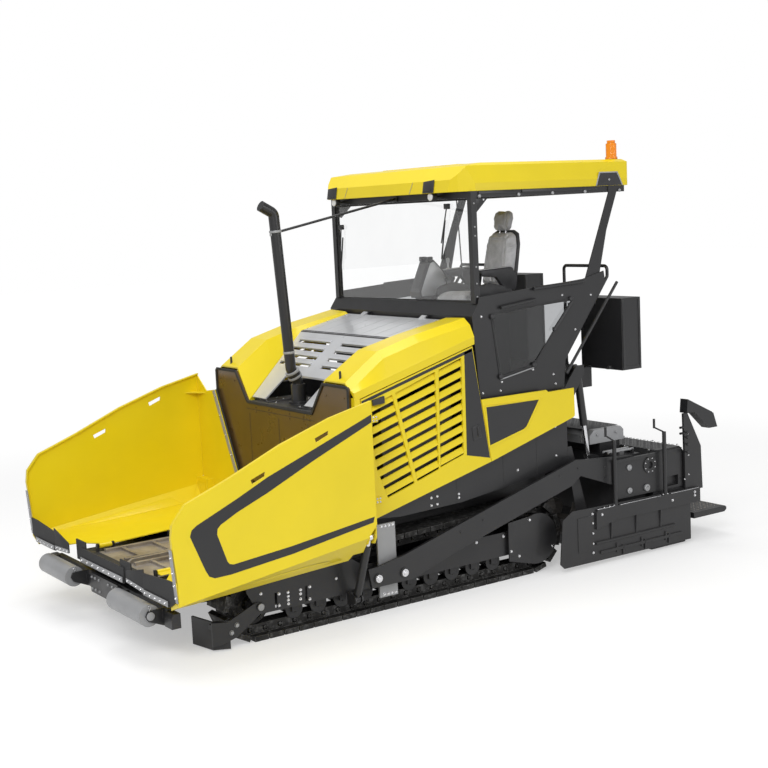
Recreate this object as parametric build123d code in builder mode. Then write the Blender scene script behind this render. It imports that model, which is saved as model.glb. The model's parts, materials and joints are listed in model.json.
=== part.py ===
"""Tracked asphalt paver with folding hopper wings and an extending screed.

Millimetres. +X is the direction of travel, +Y the left side, +Z up. The origin is on the ground,
in the middle of the machine's length and width.
"""

import os
from math import atan2, cos, degrees, radians, sin

from build123d import *

os.makedirs("parts", exist_ok=True)

# ---------------------------------------------------------------- driving dimensions
CLEAR = 5.0  # running clearance between pieces that move past each other
PIN_CLEAR = 0.1  # radial clearance of a pin in its bore
PLATE = 12.0  # heavy plate

# tracks
TRACK_Y = 1018.5  # middle of each track
TRACK_WIDTH = 305.0
IDLER_X = 2205.0
SPROCKET_X = -800.0
SPROCKET_RADIUS = 350.0  # to the tips of the shoes, and the height of the axle
IDLER_RADIUS = 300.0
SHOE_THICKNESS = 45.0
SHOE_GAP = 12.0
SHOE_COUNT = 52
LINK_HEIGHT = 80.0
LINK_WIDTH = 150.0
WINDOW_LENGTH = 46.0  # gap between two links
ROLLER_RADIUS = 60.0
ROLLER_FLANGE = 82.0
ROLLER_PITCH = 240.0
ROLLER_COUNT = 10
FIRST_ROLLER_X = -351.0
CARRIER_RADIUS = 40.0
CARRIER_X = (150.0, 1250.0)
WHEEL_GAP = 0.5  # between a wheel's rim and the links
SPROCKET_TEETH = 11

# chassis
FRAME_Y = 850.0  # outer face of the main side plates
FRAME_REAR = -1250.0
FRAME_FRONT = 2900.0
TUNNEL_HALF = 600.0  # half width of the conveyor tunnel
FLOOR_Z = 540.0  # top of the frame's floor
DECK_Z = 985.0  # top of the deck over the tunnel and the tracks
SKIRT_Y = 1195.0
BODY_Y = 1270.0  # outer face of the cowling
HINGE_Y = 620.0  # fold axis of the hopper wings
HINGE_Z = 600.0
BULKHEAD_X = 1220.0
BULKHEAD_THICKNESS = 20.0
SHELF_Z = 1742.0

# hopper wings
WING_Y = 1600.0  # outer face of the wing's side
WING_NOSE = FRAME_FRONT + 190  # front edge of the wing's floor
WING_FRONT = WING_NOSE + 30
WING_REAR = BULKHEAD_X + 30
WING_SHEET = 10.0
WING_CYLINDER_X = WING_REAR + 40
WING_CYLINDER_EYE = (WING_Y - 70, 790.0)
FOOT_HALF = 28.0  # half the gap between the plates at the cylinder's foot
WING_FOOT_PIN = 16.0
WING_BARREL = 34.0
WING_ROD = 22.0

# push rollers
PUSH_PIN_X = FRAME_FRONT + 35
PUSH_ROLLER_X = PUSH_PIN_X + 195
PUSH_ROLLER_Z = 406.0
PUSH_ROLLER_RADIUS = 90.0
PUSH_ROLLER_Y = (465.0, 1118.0)

# platform, canopy
PLATFORM_Z = 1850.0
PLATFORM_FRONT = -148.0
WALL_Y = 1200.0  # outer face of the platform's side walls
SILL_Z = 2620.0  # lower edge of the windscreen
ROOF_Z = 3630.0
ROOF_TOP = 3885.0
ROOF_FRONT = -70.0
ROOF_REAR = -2210.0
ROOF_HALF = 1180.0
POST_X = -238.0
POST_Y = 1146.0

# screed
TOW_X = 935.0
TOW_Z = 352.0
SCREED_HALF = 1270.0
ARM_Y = (SCREED_HALF + 35, SCREED_HALF + 65)
SCREED_FRONT = -1700.0
SCREED_SPLIT = -2190.0  # rear face of the basic screed
SCREED_REAR = -2680.0
SCREED_Z = 2.0
GATE_Y = SCREED_HALF + 154  # outer face of the end gates
LIFT_Y = 1090.0
LIFT_TOP = (-1490.0, 1880.0)
LIFT_FOOT = (-1610.0, 990.0)

# auger
AUGER_X = -1430.0
AUGER_Z = 400.0
AUGER_RADIUS = 180.0

WHEELBASE = IDLER_X - SPROCKET_X
RAIL_DEPTH = SHOE_THICKNESS + LINK_HEIGHT  # from a shoe's tip to the rail that the rollers run on
TOP_SLOPE = 2 * degrees(atan2(SPROCKET_RADIUS - IDLER_RADIUS, WHEELBASE))  # fall of the upper run
TRACK_IN = TRACK_Y - TRACK_WIDTH / 2
TRACK_OUT = TRACK_Y + TRACK_WIDTH / 2
LINK_IN = TRACK_Y - LINK_WIDTH / 2
LINK_OUT = TRACK_Y + LINK_WIDTH / 2
OUTER_PLATE = (TRACK_OUT + 7, TRACK_OUT + 25)  # faces of the track frame's outer plate
WING_CYLINDER_FOOT = (OUTER_PLATE[1] + 94, 200.0)


# ---------------------------------------------------------------- shared shapes
def side_prism(points, y_from, y_to, mode=Mode.ADD):
    """Extrude a closed profile of (x, z) points from y_from to y_to."""
    with BuildSketch(Plane.XZ.offset(-y_from)) as profile:
        with BuildLine():
            Polyline(*points, close=True)
        make_face()
    extrude(profile.sketch, amount=y_to - y_from, dir=(0, 1, 0), mode=mode)


def cross_prism(points, x_from, x_to, mode=Mode.ADD):
    """Extrude a closed profile of (y, z) points from x_from to x_to."""
    with BuildSketch(Plane.YZ.offset(x_from)) as profile:
        with BuildLine():
            Polyline(*points, close=True)
        make_face()
    extrude(profile.sketch, amount=x_to - x_from, dir=(1, 0, 0), mode=mode)


def plan_prism(points, z_from, z_to, mode=Mode.ADD):
    """Extrude a closed outline of (x, y) points from z_from to z_to."""
    with BuildSketch(Plane.XY.offset(z_from)) as profile:
        with BuildLine():
            Polyline(*points, close=True)
        make_face()
    extrude(profile.sketch, amount=z_to - z_from, dir=(0, 0, 1), mode=mode)


def block(x, y, z, mode=Mode.ADD):
    """Add a box that spans the pairs x, y and z."""
    with Locations(((x[0] + x[1]) / 2, (y[0] + y[1]) / 2, (z[0] + z[1]) / 2)):
        Box(abs(x[1] - x[0]), abs(y[1] - y[0]), abs(z[1] - z[0]), mode=mode)


def cross_shaft(x, z, y_from, y_to, radius, mode=Mode.ADD):
    """Add a round shaft along Y."""
    with Locations((x, (y_from + y_to) / 2, z)):
        Cylinder(radius, abs(y_to - y_from), rotation=(90, 0, 0), mode=mode)


def long_shaft(y, z, x_from, x_to, radius, mode=Mode.ADD):
    """Add a round shaft along X."""
    with Locations(((x_from + x_to) / 2, y, z)):
        Cylinder(radius, abs(x_to - x_from), rotation=(0, 90, 0), mode=mode)


def upright(x, y, z_from, z_to, radius, mode=Mode.ADD):
    """Add a round shaft along Z."""
    with Locations((x, y, (z_from + z_to) / 2)):
        Cylinder(radius, abs(z_to - z_from), mode=mode)


def rod_between(start, end, radius, mode=Mode.ADD):
    """Add a round rod from one point to another."""
    start, end = Vector(*start), Vector(*end)
    with BuildSketch(Plane(origin=start, z_dir=end - start)) as section:
        Circle(radius)
    extrude(section.sketch, amount=(end - start).length, mode=mode)


def bent_tube(points, bend, radius):
    """Add a round bar along a path of straight runs joined by arcs of radius bend."""
    with BuildLine() as path:
        FilletPolyline(*points, radius=bend)
    first, second = Vector(*points[0]), Vector(*points[1])
    with BuildSketch(Plane(origin=first, z_dir=second - first)) as section:
        Circle(radius)
    sweep(section.sketch, path=path.wires()[0])


def store(builder, label):
    """Name a finished piece and write it."""
    builder.part.label = label
    export_step(builder.part, f"parts/{label}.step")


def store_pair(builder, stem):
    """Write a left piece and its mirror image on the right."""
    store(builder, f"{stem}_left")
    with BuildPart() as other:
        mirror(builder.part, about=Plane.XZ)
    store(other, f"{stem}_right")


def store_both(builder, label):
    """Write a left piece and its mirror image as one node."""
    with BuildPart() as both:
        add(builder.part)
        mirror(builder.part, about=Plane.XZ)
    store(both, label)


# ---------------------------------------------------------------- tracks
def loop_wheels(depth):
    """Radii of the loop round sprocket and idler at a depth below the tips of the shoes."""
    return SPROCKET_RADIUS - depth, IDLER_RADIUS - depth


def loop_places(count, depth, offset=0.0, chord=0.0):
    """List (x, z, turn) of stations spread evenly round the loop, turn along the run.

    On the bends a flat piece of length chord stays within the loop.
    """
    rear_radius, front_radius = loop_wheels(SHOE_THICKNESS + LINK_HEIGHT / 2)
    rear, front = ((radius**2 - (chord / 2) ** 2) ** 0.5 - depth for radius in loop_wheels(0))
    front_turn = 180 - TOP_SLOPE
    runs = (
        ("bottom", WHEELBASE),
        ("front", radians(front_turn) * front_radius),
        ("top", WHEELBASE),
        ("rear", radians(180 + TOP_SLOPE) * rear_radius),
    )
    total = sum(length for _, length in runs)
    places = []
    for index in range(count):
        along = total * (index + offset) / count
        for name, length in runs:
            if along <= length:
                break
            along -= length
        share = along / length
        if name == "bottom":
            x, z, turn = SPROCKET_X + along, depth, 0.0
        elif name == "front":
            turn = front_turn * share
            x = IDLER_X + front * sin(radians(turn))
            z = IDLER_RADIUS - front * cos(radians(turn))
        elif name == "top":
            turn, reach = front_turn, IDLER_RADIUS - depth
            x = IDLER_X + reach * sin(radians(turn)) + along * cos(radians(turn))
            z = IDLER_RADIUS - reach * cos(radians(turn)) + along * sin(radians(turn))
        else:
            turn = front_turn + (180 + TOP_SLOPE) * share
            x = SPROCKET_X + rear * sin(radians(turn))
            z = SPROCKET_RADIUS - rear * cos(radians(turn))
        places.append((x, z, turn))
    return places


def loop_outline(depth, mode=Mode.ADD):
    """Fill the track's loop at a depth below the tips of the shoes."""
    rear, front = loop_wheels(depth)
    lean = radians(180 - TOP_SLOPE)
    with Locations((SPROCKET_X, SPROCKET_RADIUS)):
        Circle(rear, mode=mode)
    with Locations((IDLER_X, IDLER_RADIUS)):
        Circle(front, mode=mode)
    Polygon(
        (SPROCKET_X, depth),
        (IDLER_X, depth),
        (IDLER_X + front * sin(lean), IDLER_RADIUS - front * cos(lean)),
        (SPROCKET_X + rear * sin(lean), SPROCKET_RADIUS - rear * cos(lean)),
        align=None,
        mode=mode,
    )


with BuildPart() as track:
    rear_pitch, front_pitch = loop_wheels(SHOE_THICKNESS + LINK_HEIGHT / 2)
    loop_length = 2 * WHEELBASE + radians(180) * (rear_pitch + front_pitch)
    shoe_length = loop_length / SHOE_COUNT - SHOE_GAP
    with BuildSketch(Plane.XZ.offset(-LINK_IN)) as links:
        loop_outline(SHOE_THICKNESS - 5)
        loop_outline(RAIL_DEPTH, Mode.SUBTRACT)
        for x, z, turn in loop_places(SHOE_COUNT, SHOE_THICKNESS + LINK_HEIGHT * 0.45):
            with Locations((x, z)):
                Rectangle(WINDOW_LENGTH, LINK_HEIGHT * 0.5, rotation=turn, mode=Mode.SUBTRACT)
    extrude(links.sketch, amount=LINK_WIDTH, dir=(0, 1, 0))
    with BuildSketch(Plane.XZ.offset(-TRACK_IN)) as shoes:
        for x, z, turn in loop_places(SHOE_COUNT, SHOE_THICKNESS / 2, 0.5, shoe_length):
            with Locations((x, z)):
                Rectangle(shoe_length, SHOE_THICKNESS, rotation=turn)
    extrude(shoes.sketch, amount=TRACK_WIDTH, dir=(0, 1, 0))
store_pair(track, "track")

# track frame: beam between the two runs, outer plate, rollers and final drive
BEAM_LOW, BEAM_HIGH = 290.0, 410.0
BEAM_REAR, BEAM_FRONT = -520.0, 1930.0
CHEEK = 18.0
WHEEL_HALF = 72.0  # half the distance between the cheeks that hold the idler
DRIVE_RADIUS = 236.0
ROLLER_Z = RAIL_DEPTH + ROLLER_RADIUS + WHEEL_GAP
with BuildPart() as track_frame:
    block((BEAM_REAR, BEAM_FRONT), (FRAME_Y, OUTER_PLATE[0]), (BEAM_LOW, BEAM_HIGH))
    side_prism(
        [
            (SPROCKET_X, 245),
            (1900, 235),
            (2190, 235),
            (2300, 437),
            (2300, 590),
            (1350, 590),
            (1150, 455),
            (110, 467),
            (SPROCKET_X, 467),
        ],
        *OUTER_PLATE,
    )
    for x in (2028, 1735):
        block((x - 12, x + 12), OUTER_PLATE, (255, 385), Mode.SUBTRACT)
    cross_shaft(SPROCKET_X, SPROCKET_RADIUS, OUTER_PLATE[0], OUTER_PLATE[1] + 26, DRIVE_RADIUS)
    cross_shaft(SPROCKET_X, SPROCKET_RADIUS, OUTER_PLATE[1] + 26, OUTER_PLATE[1] + 34, DRIVE_RADIUS * 0.62)
    # final drive housing and the thin inner plate that joins it to the beam
    drive_plate = [(SPROCKET_X, 250), (BEAM_REAR, BEAM_LOW), (BEAM_REAR, BEAM_HIGH), (SPROCKET_X, 450)]
    side_prism(drive_plate, FRAME_Y, FRAME_Y + 14)
    cross_shaft(SPROCKET_X, SPROCKET_RADIUS, FRAME_Y, TRACK_Y - 45, 140)
    for index in range(ROLLER_COUNT):
        x = FIRST_ROLLER_X + ROLLER_PITCH * index
        cross_shaft(x, ROLLER_Z, LINK_IN, LINK_OUT + 3, ROLLER_RADIUS)
        cross_shaft(x, ROLLER_Z, LINK_OUT + 3, LINK_OUT + 15, ROLLER_FLANGE)
        for y in (LINK_IN - 18, LINK_OUT + 15):
            block((x - 32, x + 32), (y, y + 18), (ROLLER_Z - 20, BEAM_LOW))
    for x in CARRIER_X:
        rail_z = 2 * SPROCKET_RADIUS - RAIL_DEPTH - (x - SPROCKET_X) * sin(radians(TOP_SLOPE))
        z = rail_z - CARRIER_RADIUS - 2
        cross_shaft(x, z, LINK_IN, LINK_OUT, CARRIER_RADIUS)
        block((x - 25, x + 25), (TRACK_Y - 25, TRACK_Y + 25), (BEAM_HIGH, z))
    for y in (TRACK_Y - WHEEL_HALF - CHEEK, TRACK_Y + WHEEL_HALF):
        block((BEAM_FRONT - 60, IDLER_X + 60), (y, y + CHEEK), (IDLER_RADIUS - 45, IDLER_RADIUS + 45))
store_both(track_frame, "track_frames")

# feet of the hopper wings' cylinders: the rear plate carries the pin, the front one is bored for it
foot_y, foot_z = WING_CYLINDER_FOOT
foot_outline = [
    (OUTER_PLATE[1], foot_z + 60),
    (OUTER_PLATE[1], foot_z - 60),
    (foot_y, foot_z - 44),
    (foot_y + 36, foot_z - 26),
    (foot_y + 44, foot_z),
    (foot_y + 36, foot_z + 26),
    (foot_y, foot_z + 44),
]
rear_foot_x = WING_CYLINDER_X - FOOT_HALF - PLATE
front_foot_x = WING_CYLINDER_X + FOOT_HALF
with BuildPart() as rear_foot:
    cross_prism(foot_outline, rear_foot_x, rear_foot_x + PLATE)
    long_shaft(*WING_CYLINDER_FOOT, rear_foot_x, front_foot_x + PLATE, WING_FOOT_PIN)
with BuildPart() as front_foot:
    cross_prism(foot_outline, front_foot_x, front_foot_x + PLATE)
    long_shaft(
        *WING_CYLINDER_FOOT, front_foot_x, front_foot_x + PLATE, WING_FOOT_PIN + PIN_CLEAR, Mode.SUBTRACT
    )
with BuildPart() as wing_feet:
    add(rear_foot.part)
    add(front_foot.part)
store_both(wing_feet, "wing_cylinder_feet")

idler_rim = IDLER_RADIUS - RAIL_DEPTH - WHEEL_GAP
drive_rim = SPROCKET_RADIUS - RAIL_DEPTH - WHEEL_GAP
with BuildPart() as track_wheels:
    # idler: rim, web and hub turned about its axle
    with BuildSketch(Plane.YZ.offset(IDLER_X)) as section:
        with BuildLine():
            Polyline(
                (TRACK_Y - WHEEL_HALF, IDLER_RADIUS),
                (TRACK_Y - WHEEL_HALF, IDLER_RADIUS + 60),
                (TRACK_Y - 20, IDLER_RADIUS + 70),
                (TRACK_Y - 20, IDLER_RADIUS + 135),
                (TRACK_Y - 58, IDLER_RADIUS + 145),
                (TRACK_Y - 58, IDLER_RADIUS + idler_rim),
                (TRACK_Y + 58, IDLER_RADIUS + idler_rim),
                (TRACK_Y + 58, IDLER_RADIUS + 145),
                (TRACK_Y + 20, IDLER_RADIUS + 135),
                (TRACK_Y + 20, IDLER_RADIUS + 70),
                (TRACK_Y + WHEEL_HALF, IDLER_RADIUS + 60),
                (TRACK_Y + WHEEL_HALF, IDLER_RADIUS),
                close=True,
            )
        make_face()
    revolve(section.sketch, axis=Axis((IDLER_X, 0, IDLER_RADIUS), (0, 1, 0)))
    # sprocket with the hubs on both sides of it
    with BuildSketch(Plane.XZ.offset(-(TRACK_Y - 28))) as disc:
        with Locations((SPROCKET_X, SPROCKET_RADIUS)):
            Circle(drive_rim)
        with Locations((SPROCKET_X, SPROCKET_RADIUS)):
            with PolarLocations(drive_rim, SPROCKET_TEETH):
                RegularPolygon(34, 4, mode=Mode.SUBTRACT)
    extrude(disc.sketch, amount=56, dir=(0, 1, 0))
    cross_shaft(SPROCKET_X, SPROCKET_RADIUS, TRACK_Y - 45, TRACK_Y - 28, 140)
    cross_shaft(SPROCKET_X, SPROCKET_RADIUS, TRACK_Y + 28, OUTER_PLATE[0], 90)
store_both(track_wheels, "track_wheels")

# track deflectors: an arm on the track frame and an angled blade in front of the shoes
ARM_THICKNESS = 18.0
DEFLECTOR_Y = OUTER_PLATE[1] + ARM_THICKNESS
with BuildPart() as deflector:
    side_prism(
        [(2160, 330), (2230, 345), (2500, 235), (2640, 260), (2640, 60), (2560, 60), (2420, 95), (2150, 270)],
        OUTER_PLATE[1],
        DEFLECTOR_Y,
    )
    blade = [(2480, DEFLECTOR_Y), (2610, 1150), (2660, 880), (2642, 877), (2594, 1142)]
    plan_prism([*blade, (2480, OUTER_PLATE[1])], 12, 250)
    block((2600, 2640), (1150, DEFLECTOR_Y), (200, 240))
    cross_shaft(2190, 304, DEFLECTOR_Y, DEFLECTOR_Y + 10, 24)
    for x, z in ((2415, 197), (2466, 143)):
        cross_shaft(x, z, DEFLECTOR_Y, DEFLECTOR_Y + 8, 18)
store_both(deflector, "track_deflectors")

# ---------------------------------------------------------------- chassis
LUG = 20.0  # thickness of the hinge lugs
KNUCKLE_RADIUS = 22.0
HINGE_PIN = 12.0
HINGE_X = (1330.0, 2050.0, 2760.0)  # middles of the wing's hinge knuckles
KNUCKLE_LENGTH = 120.0
with BuildPart() as chassis_frame:
    for side in (1, -1):
        inner, outer = sorted((side * (FRAME_Y - 24), side * FRAME_Y))
        side_prism(
            [
                (FRAME_REAR, 480),
                (-1000, 250),
                (2350, 250),
                (2500, 330),
                (FRAME_FRONT - 30, 360),
                (FRAME_FRONT - 30, FLOOR_Z),
                (BULKHEAD_X, FLOOR_Z),
                (BULKHEAD_X - BULKHEAD_THICKNESS, 700),
                (BULKHEAD_X - BULKHEAD_THICKNESS, DECK_Z - 20),
                (FRAME_REAR, DECK_Z - 20),
            ],
            inner,
            outer,
        )
        # tunnel wall
        inner, outer = sorted((side * TUNNEL_HALF, side * (TUNNEL_HALF + 20)))
        block((FRAME_REAR, BULKHEAD_X - BULKHEAD_THICKNESS), (inner, outer), (FLOOR_Z, DECK_Z - 20))
        # skirt over the track
        inner, outer = sorted((side * (SKIRT_Y - 12), side * SKIRT_Y))
        side_prism(
            [
                (1150, 840),
                (987, 837),
                (728, 814),
                (45, 833),
                (-1146, 968),
                (FRAME_REAR, 968),
                (FRAME_REAR, 1700),
                (-300, 1700),
                (-300, 1240),
                (1000, 1000),
                (1150, 1000),
            ],
            inner,
            outer,
        )
        for x in HINGE_X:
            for end in (-1, 1):
                face = x + end * (KNUCKLE_LENGTH / 2 + CLEAR)
                low, high = sorted((face, face + end * LUG))
                cross_prism(
                    [
                        (side * (TUNNEL_HALF + 4), FLOOR_Z),
                        (side * (HINGE_Y + 24), FLOOR_Z),
                        (side * (HINGE_Y + 24), HINGE_Z - 10),
                        (side * (HINGE_Y + 12), HINGE_Z + 22),
                        (side * (HINGE_Y - 12), HINGE_Z + 22),
                        (side * (TUNNEL_HALF + 4), HINGE_Z + 14),
                    ],
                    low,
                    high,
                )
            span = KNUCKLE_LENGTH / 2 + CLEAR + LUG
            long_shaft(side * HINGE_Y, HINGE_Z, x - span, x + span, HINGE_PIN)
    # floor under the conveyor, deck, rear wall and front cross member
    block((FRAME_REAR, FRAME_FRONT), (24 - FRAME_Y, FRAME_Y - 24), (FLOOR_Z - 20, FLOOR_Z))
    block((FRAME_REAR, BULKHEAD_X - BULKHEAD_THICKNESS), (-SKIRT_Y, SKIRT_Y), (DECK_Z - 20, DECK_Z))
    block((FRAME_REAR, FRAME_REAR + 20), (-SKIRT_Y, SKIRT_Y), (DECK_Z, 1700))
    block((FRAME_FRONT - 80, FRAME_FRONT - 20), (24 - FRAME_Y, FRAME_Y - 24), (330, FLOOR_Z - 20))
    # clevis of the push beam
    for z in (262, 478):
        block((FRAME_FRONT - 50, PUSH_PIN_X + 45), (-90, 90), (z, z + 20))
    upright(PUSH_PIN_X, 0, 262, 498, 25)
store(chassis_frame, "chassis_frame")

# ---------------------------------------------------------------- conveyor and hopper apron
CONVEYOR_FRONT = FRAME_FRONT - 65
CONVEYOR_FLOOR = FLOOR_Z + 12
SLAT_PITCH = 300.0
FLIGHT_HEIGHT = 22.0
with BuildPart() as conveyor:
    block((FRAME_REAR, CONVEYOR_FRONT), (-TUNNEL_HALF, TUNNEL_HALF), (FLOOR_Z, CONVEYOR_FLOOR))
    # divider between the two chains
    side_prism(
        [
            (FRAME_REAR, CONVEYOR_FLOOR),
            (CONVEYOR_FRONT, CONVEYOR_FLOOR),
            (CONVEYOR_FRONT - 60, CONVEYOR_FLOOR + 38),
            (FRAME_REAR, CONVEYOR_FLOOR + 68),
        ],
        -18,
        18,
    )
    for side in (-1, 1):
        for chain in (80, 520):
            inner, outer = sorted((side * chain, side * (chain + 40)))
            block((FRAME_REAR, CONVEYOR_FRONT - 40), (inner, outer), (CONVEYOR_FLOOR, CONVEYOR_FLOOR + 28))
        for index in range(int((CONVEYOR_FRONT - 200 - FRAME_REAR) / SLAT_PITCH) + 1):
            x = CONVEYOR_FRONT - 200 - SLAT_PITCH * index
            inner, outer = sorted((side * 60, side * 560))
            block((x - 14, x + 14), (inner, outer), (CONVEYOR_FLOOR, CONVEYOR_FLOOR + FLIGHT_HEIGHT))
store(conveyor, "conveyor")

APRON_X = FRAME_FRONT + 142
with BuildPart() as hopper_apron:
    # rubber flap in front of the conveyor with its overlapping side flaps
    block((APRON_X, APRON_X + 12), (-470, 470), (520, 655))
    for side in (-1, 1):
        inner, outer = sorted((side * 380, side * 596))
        block((APRON_X - 12, APRON_X), (inner, outer), (530, 712))
    block((APRON_X + 12, APRON_X + 20), (-455, 455), (528, 572))
    # sloping lip that carries the flaps on the frame
    side_prism(
        [
            (CONVEYOR_FRONT, FLOOR_Z),
            (CONVEYOR_FRONT, CONVEYOR_FLOOR),
            (APRON_X - 12, CONVEYOR_FLOOR + 8),
            (APRON_X - 12, FLOOR_Z + 8),
        ],
        -596,
        596,
    )
    block((FRAME_FRONT, FRAME_FRONT + 20), (-590, 590), (502, 546))
store(hopper_apron, "hopper_apron")

# ---------------------------------------------------------------- hopper wings
WING_TOP = (  # x, z of the upper edge from front to rear
    (WING_FRONT, 1100),
    (WING_FRONT - 15, 1211),
    (WING_FRONT - 135, 1354),
    (2855, 1402),
    (2590, 1502),
    (2130, 1697),
    (1655, 1853),
    (WING_REAR, 1944),
)
FLOOR_FRONT, FLOOR_BACK = 570.0, 655.0  # underside of the wing's floor at its two ends
WING_INNER = HINGE_Y + 30
BELLY_Y = WING_Y - 150  # outer edge of the belly box
LIP = 32.0  # width of the folded lip along the upper edge
LIP_SHIFT = (-9.0, -11.0)  # from the outer to the inner side of the lip, x and z
SLOTS = ((1743.0, 1712.0), (2346.0, 1464.0))  # x, z of the lashing slots' middles
POCKET_X = (WING_REAR, WING_REAR + 80)
POCKET_Y = WING_Y - 230
POCKET_TOP = 880.0


def wing_section(floor_z, belly_z, fold_z, inner_z, inner_y):
    """Give the (y, z) outline of a wing: floor, belly box, bevel and side."""
    return [
        (WING_INNER, floor_z),
        (BELLY_Y, floor_z),
        (BELLY_Y, belly_z),
        (WING_Y, fold_z),
        (WING_Y, 2000),
        (WING_Y - WING_SHEET, 2000),
        (WING_Y - WING_SHEET, inner_z),
        (inner_y, floor_z + WING_SHEET),
        (WING_INNER, floor_z + WING_SHEET),
    ]


with BuildPart() as wing:
    for x, outline in (
        (WING_REAR, wing_section(FLOOR_BACK, 612, 811, 816, 1478)),
        (WING_FRONT, wing_section(FLOOR_FRONT, 511, 567, 590, 1580)),
    ):
        with BuildSketch(Plane.YZ.offset(x)):
            with BuildLine():
                Polyline(*outline, close=True)
            make_face()
    loft(ruled=True)
    # folded lip along the front and upper edges
    edge = [(WING_NOSE, 760), *WING_TOP]
    back = [(x + LIP_SHIFT[0], z + LIP_SHIFT[1]) for x, z in reversed(edge)]
    side_prism([*edge, *back], WING_Y - LIP, WING_Y - WING_SHEET / 2)
    # side outline: upper edge and leaning front edge
    side_prism([*edge, (WING_REAR, 400), (WING_NOSE, 400)], 600, 1700, Mode.INTERSECT)
    for x, z in SLOTS:
        corners = [(x - 67, z + 42), (x + 67, z - 7), (x + 55, z - 42), (x - 62, z + 4)]
        side_prism(corners, WING_Y - 2 * WING_SHEET, WING_Y, Mode.SUBTRACT)
    # front inner corner
    plan_prism([(2670, 600), (2886, 920), (3060, 980), (3200, 980), (3200, 600)], 400, 760, Mode.SUBTRACT)
    # rear lower corner and the opening for the cylinder
    corner = [(1200, 907), (1245, 907), (1265, 880), (1398, 730), (1457, 602), (1457, 400), (1200, 400)]
    side_prism(corner, BELLY_Y - 5, 1700, Mode.SUBTRACT)
    block(POCKET_X, (POCKET_Y, 1700), (400, 720), Mode.SUBTRACT)
    # rear wall with its slanted inner edge
    cross_prism(
        [
            (WING_Y - WING_SHEET, 790),
            (WING_Y - WING_SHEET, 1930),
            (WING_Y - 206, 1781),
            (WING_Y - 394, 1806),
            (WING_INNER + 143, 951),
            (WING_INNER, FLOOR_BACK + 6),
            (POCKET_Y + 45, FLOOR_BACK + 6),
            (POCKET_Y + 70, 715),
            (WING_Y - 40, 735),
        ],
        WING_REAR,
        WING_REAR + WING_SHEET,
    )
    # gusset across the upper rear corner
    gusset = [(WING_REAR, WING_Y - 200), (WING_REAR, WING_Y - 5), (WING_REAR + 150, WING_Y - 5)]
    plan_prism(gusset, 1752, 1762)
    # pocket over the cylinder's eye: front lug, inner wall and top
    cross_prism(
        [
            (POCKET_Y, FLOOR_BACK),
            (POCKET_Y, POCKET_TOP),
            (WING_Y - WING_SHEET, POCKET_TOP),
            (WING_Y - WING_SHEET, 790),
            (WING_Y - 40, 735),
            (POCKET_Y + 70, 715),
            (POCKET_Y + 45, FLOOR_BACK),
        ],
        POCKET_X[1] - WING_SHEET,
        POCKET_X[1],
    )
    block(POCKET_X, (POCKET_Y - WING_SHEET, POCKET_Y), (FLOOR_BACK, POCKET_TOP))
    block(POCKET_X, (POCKET_Y - WING_SHEET, WING_Y - 5), (POCKET_TOP - WING_SHEET, POCKET_TOP))
    for low, high in ((WING_REAR - 8, WING_REAR), (POCKET_X[1], POCKET_X[1] + 8)):
        long_shaft(*WING_CYLINDER_EYE, low, high, 26)
    # hinge knuckles and the arms that join them to the floor
    for x in HINGE_X:
        floor_z = FLOOR_BACK + (FLOOR_FRONT - FLOOR_BACK) * (x - WING_REAR) / (WING_FRONT - WING_REAR)
        half = KNUCKLE_LENGTH / 2
        long_shaft(HINGE_Y, HINGE_Z, x - half, x + half, KNUCKLE_RADIUS)
        cross_prism(
            [
                (HINGE_Y + 8, HINGE_Z + 18),
                (HINGE_Y + 14, HINGE_Z - 16),
                (WING_INNER + 40, floor_z - 3),
                (WING_INNER + 60, floor_z + 5),
                (WING_INNER, floor_z + 8),
            ],
            x - half,
            x + half,
        )
        long_shaft(HINGE_Y, HINGE_Z, x - half, x + half, HINGE_PIN + PIN_CLEAR, Mode.SUBTRACT)
store_pair(wing, "wing")

with BuildPart() as wing_apron:
    # rubber flap along the wing's front edge, with its clamping strip
    cross_prism(
        [(980, 585), (980, 720), (1440, 755), (1560, 755), (1560, 600), (1450, 540), (980, 540)],
        WING_NOSE,
        WING_NOSE + 12,
    )
    block((WING_NOSE + 12, WING_NOSE + 20), (990, 1440), (545, 590))
store_pair(wing_apron, "wing_apron")


def cylinder_line(foot, eye):
    """Unit direction and length from a cylinder's foot to its eye."""
    direction = Vector(*eye) - Vector(*foot)
    return direction.normalized(), direction.length


wing_foot = Vector(WING_CYLINDER_X, *WING_CYLINDER_FOOT)
wing_eye = Vector(WING_CYLINDER_X, *WING_CYLINDER_EYE)
wing_line, wing_length = cylinder_line(wing_foot, wing_eye)
with BuildPart() as wing_cylinder:
    long_shaft(
        *WING_CYLINDER_FOOT, WING_CYLINDER_X - FOOT_HALF + CLEAR, WING_CYLINDER_X + FOOT_HALF - CLEAR, 30
    )
    rod_between(wing_foot, wing_foot + wing_line * 70, FOOT_HALF - CLEAR)
    rod_between(wing_foot + wing_line * 60, wing_foot + wing_line * (wing_length - 90), WING_BARREL)
    long_shaft(
        *WING_CYLINDER_FOOT,
        WING_CYLINDER_X - FOOT_HALF,
        WING_CYLINDER_X + FOOT_HALF,
        WING_FOOT_PIN + PIN_CLEAR,
        Mode.SUBTRACT,
    )
    rod_between(wing_foot + wing_line * 75, wing_eye, WING_ROD + 0.3, Mode.SUBTRACT)
store_pair(wing_cylinder, "wing_cylinder")
with BuildPart() as wing_rod:
    rod_between(wing_foot + wing_line * 76, wing_eye - wing_line * 20, WING_ROD)
    long_shaft(*WING_CYLINDER_EYE, WING_CYLINDER_X - 24, WING_CYLINDER_X + 24, 34)
store_pair(wing_rod, "wing_rod")

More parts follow.
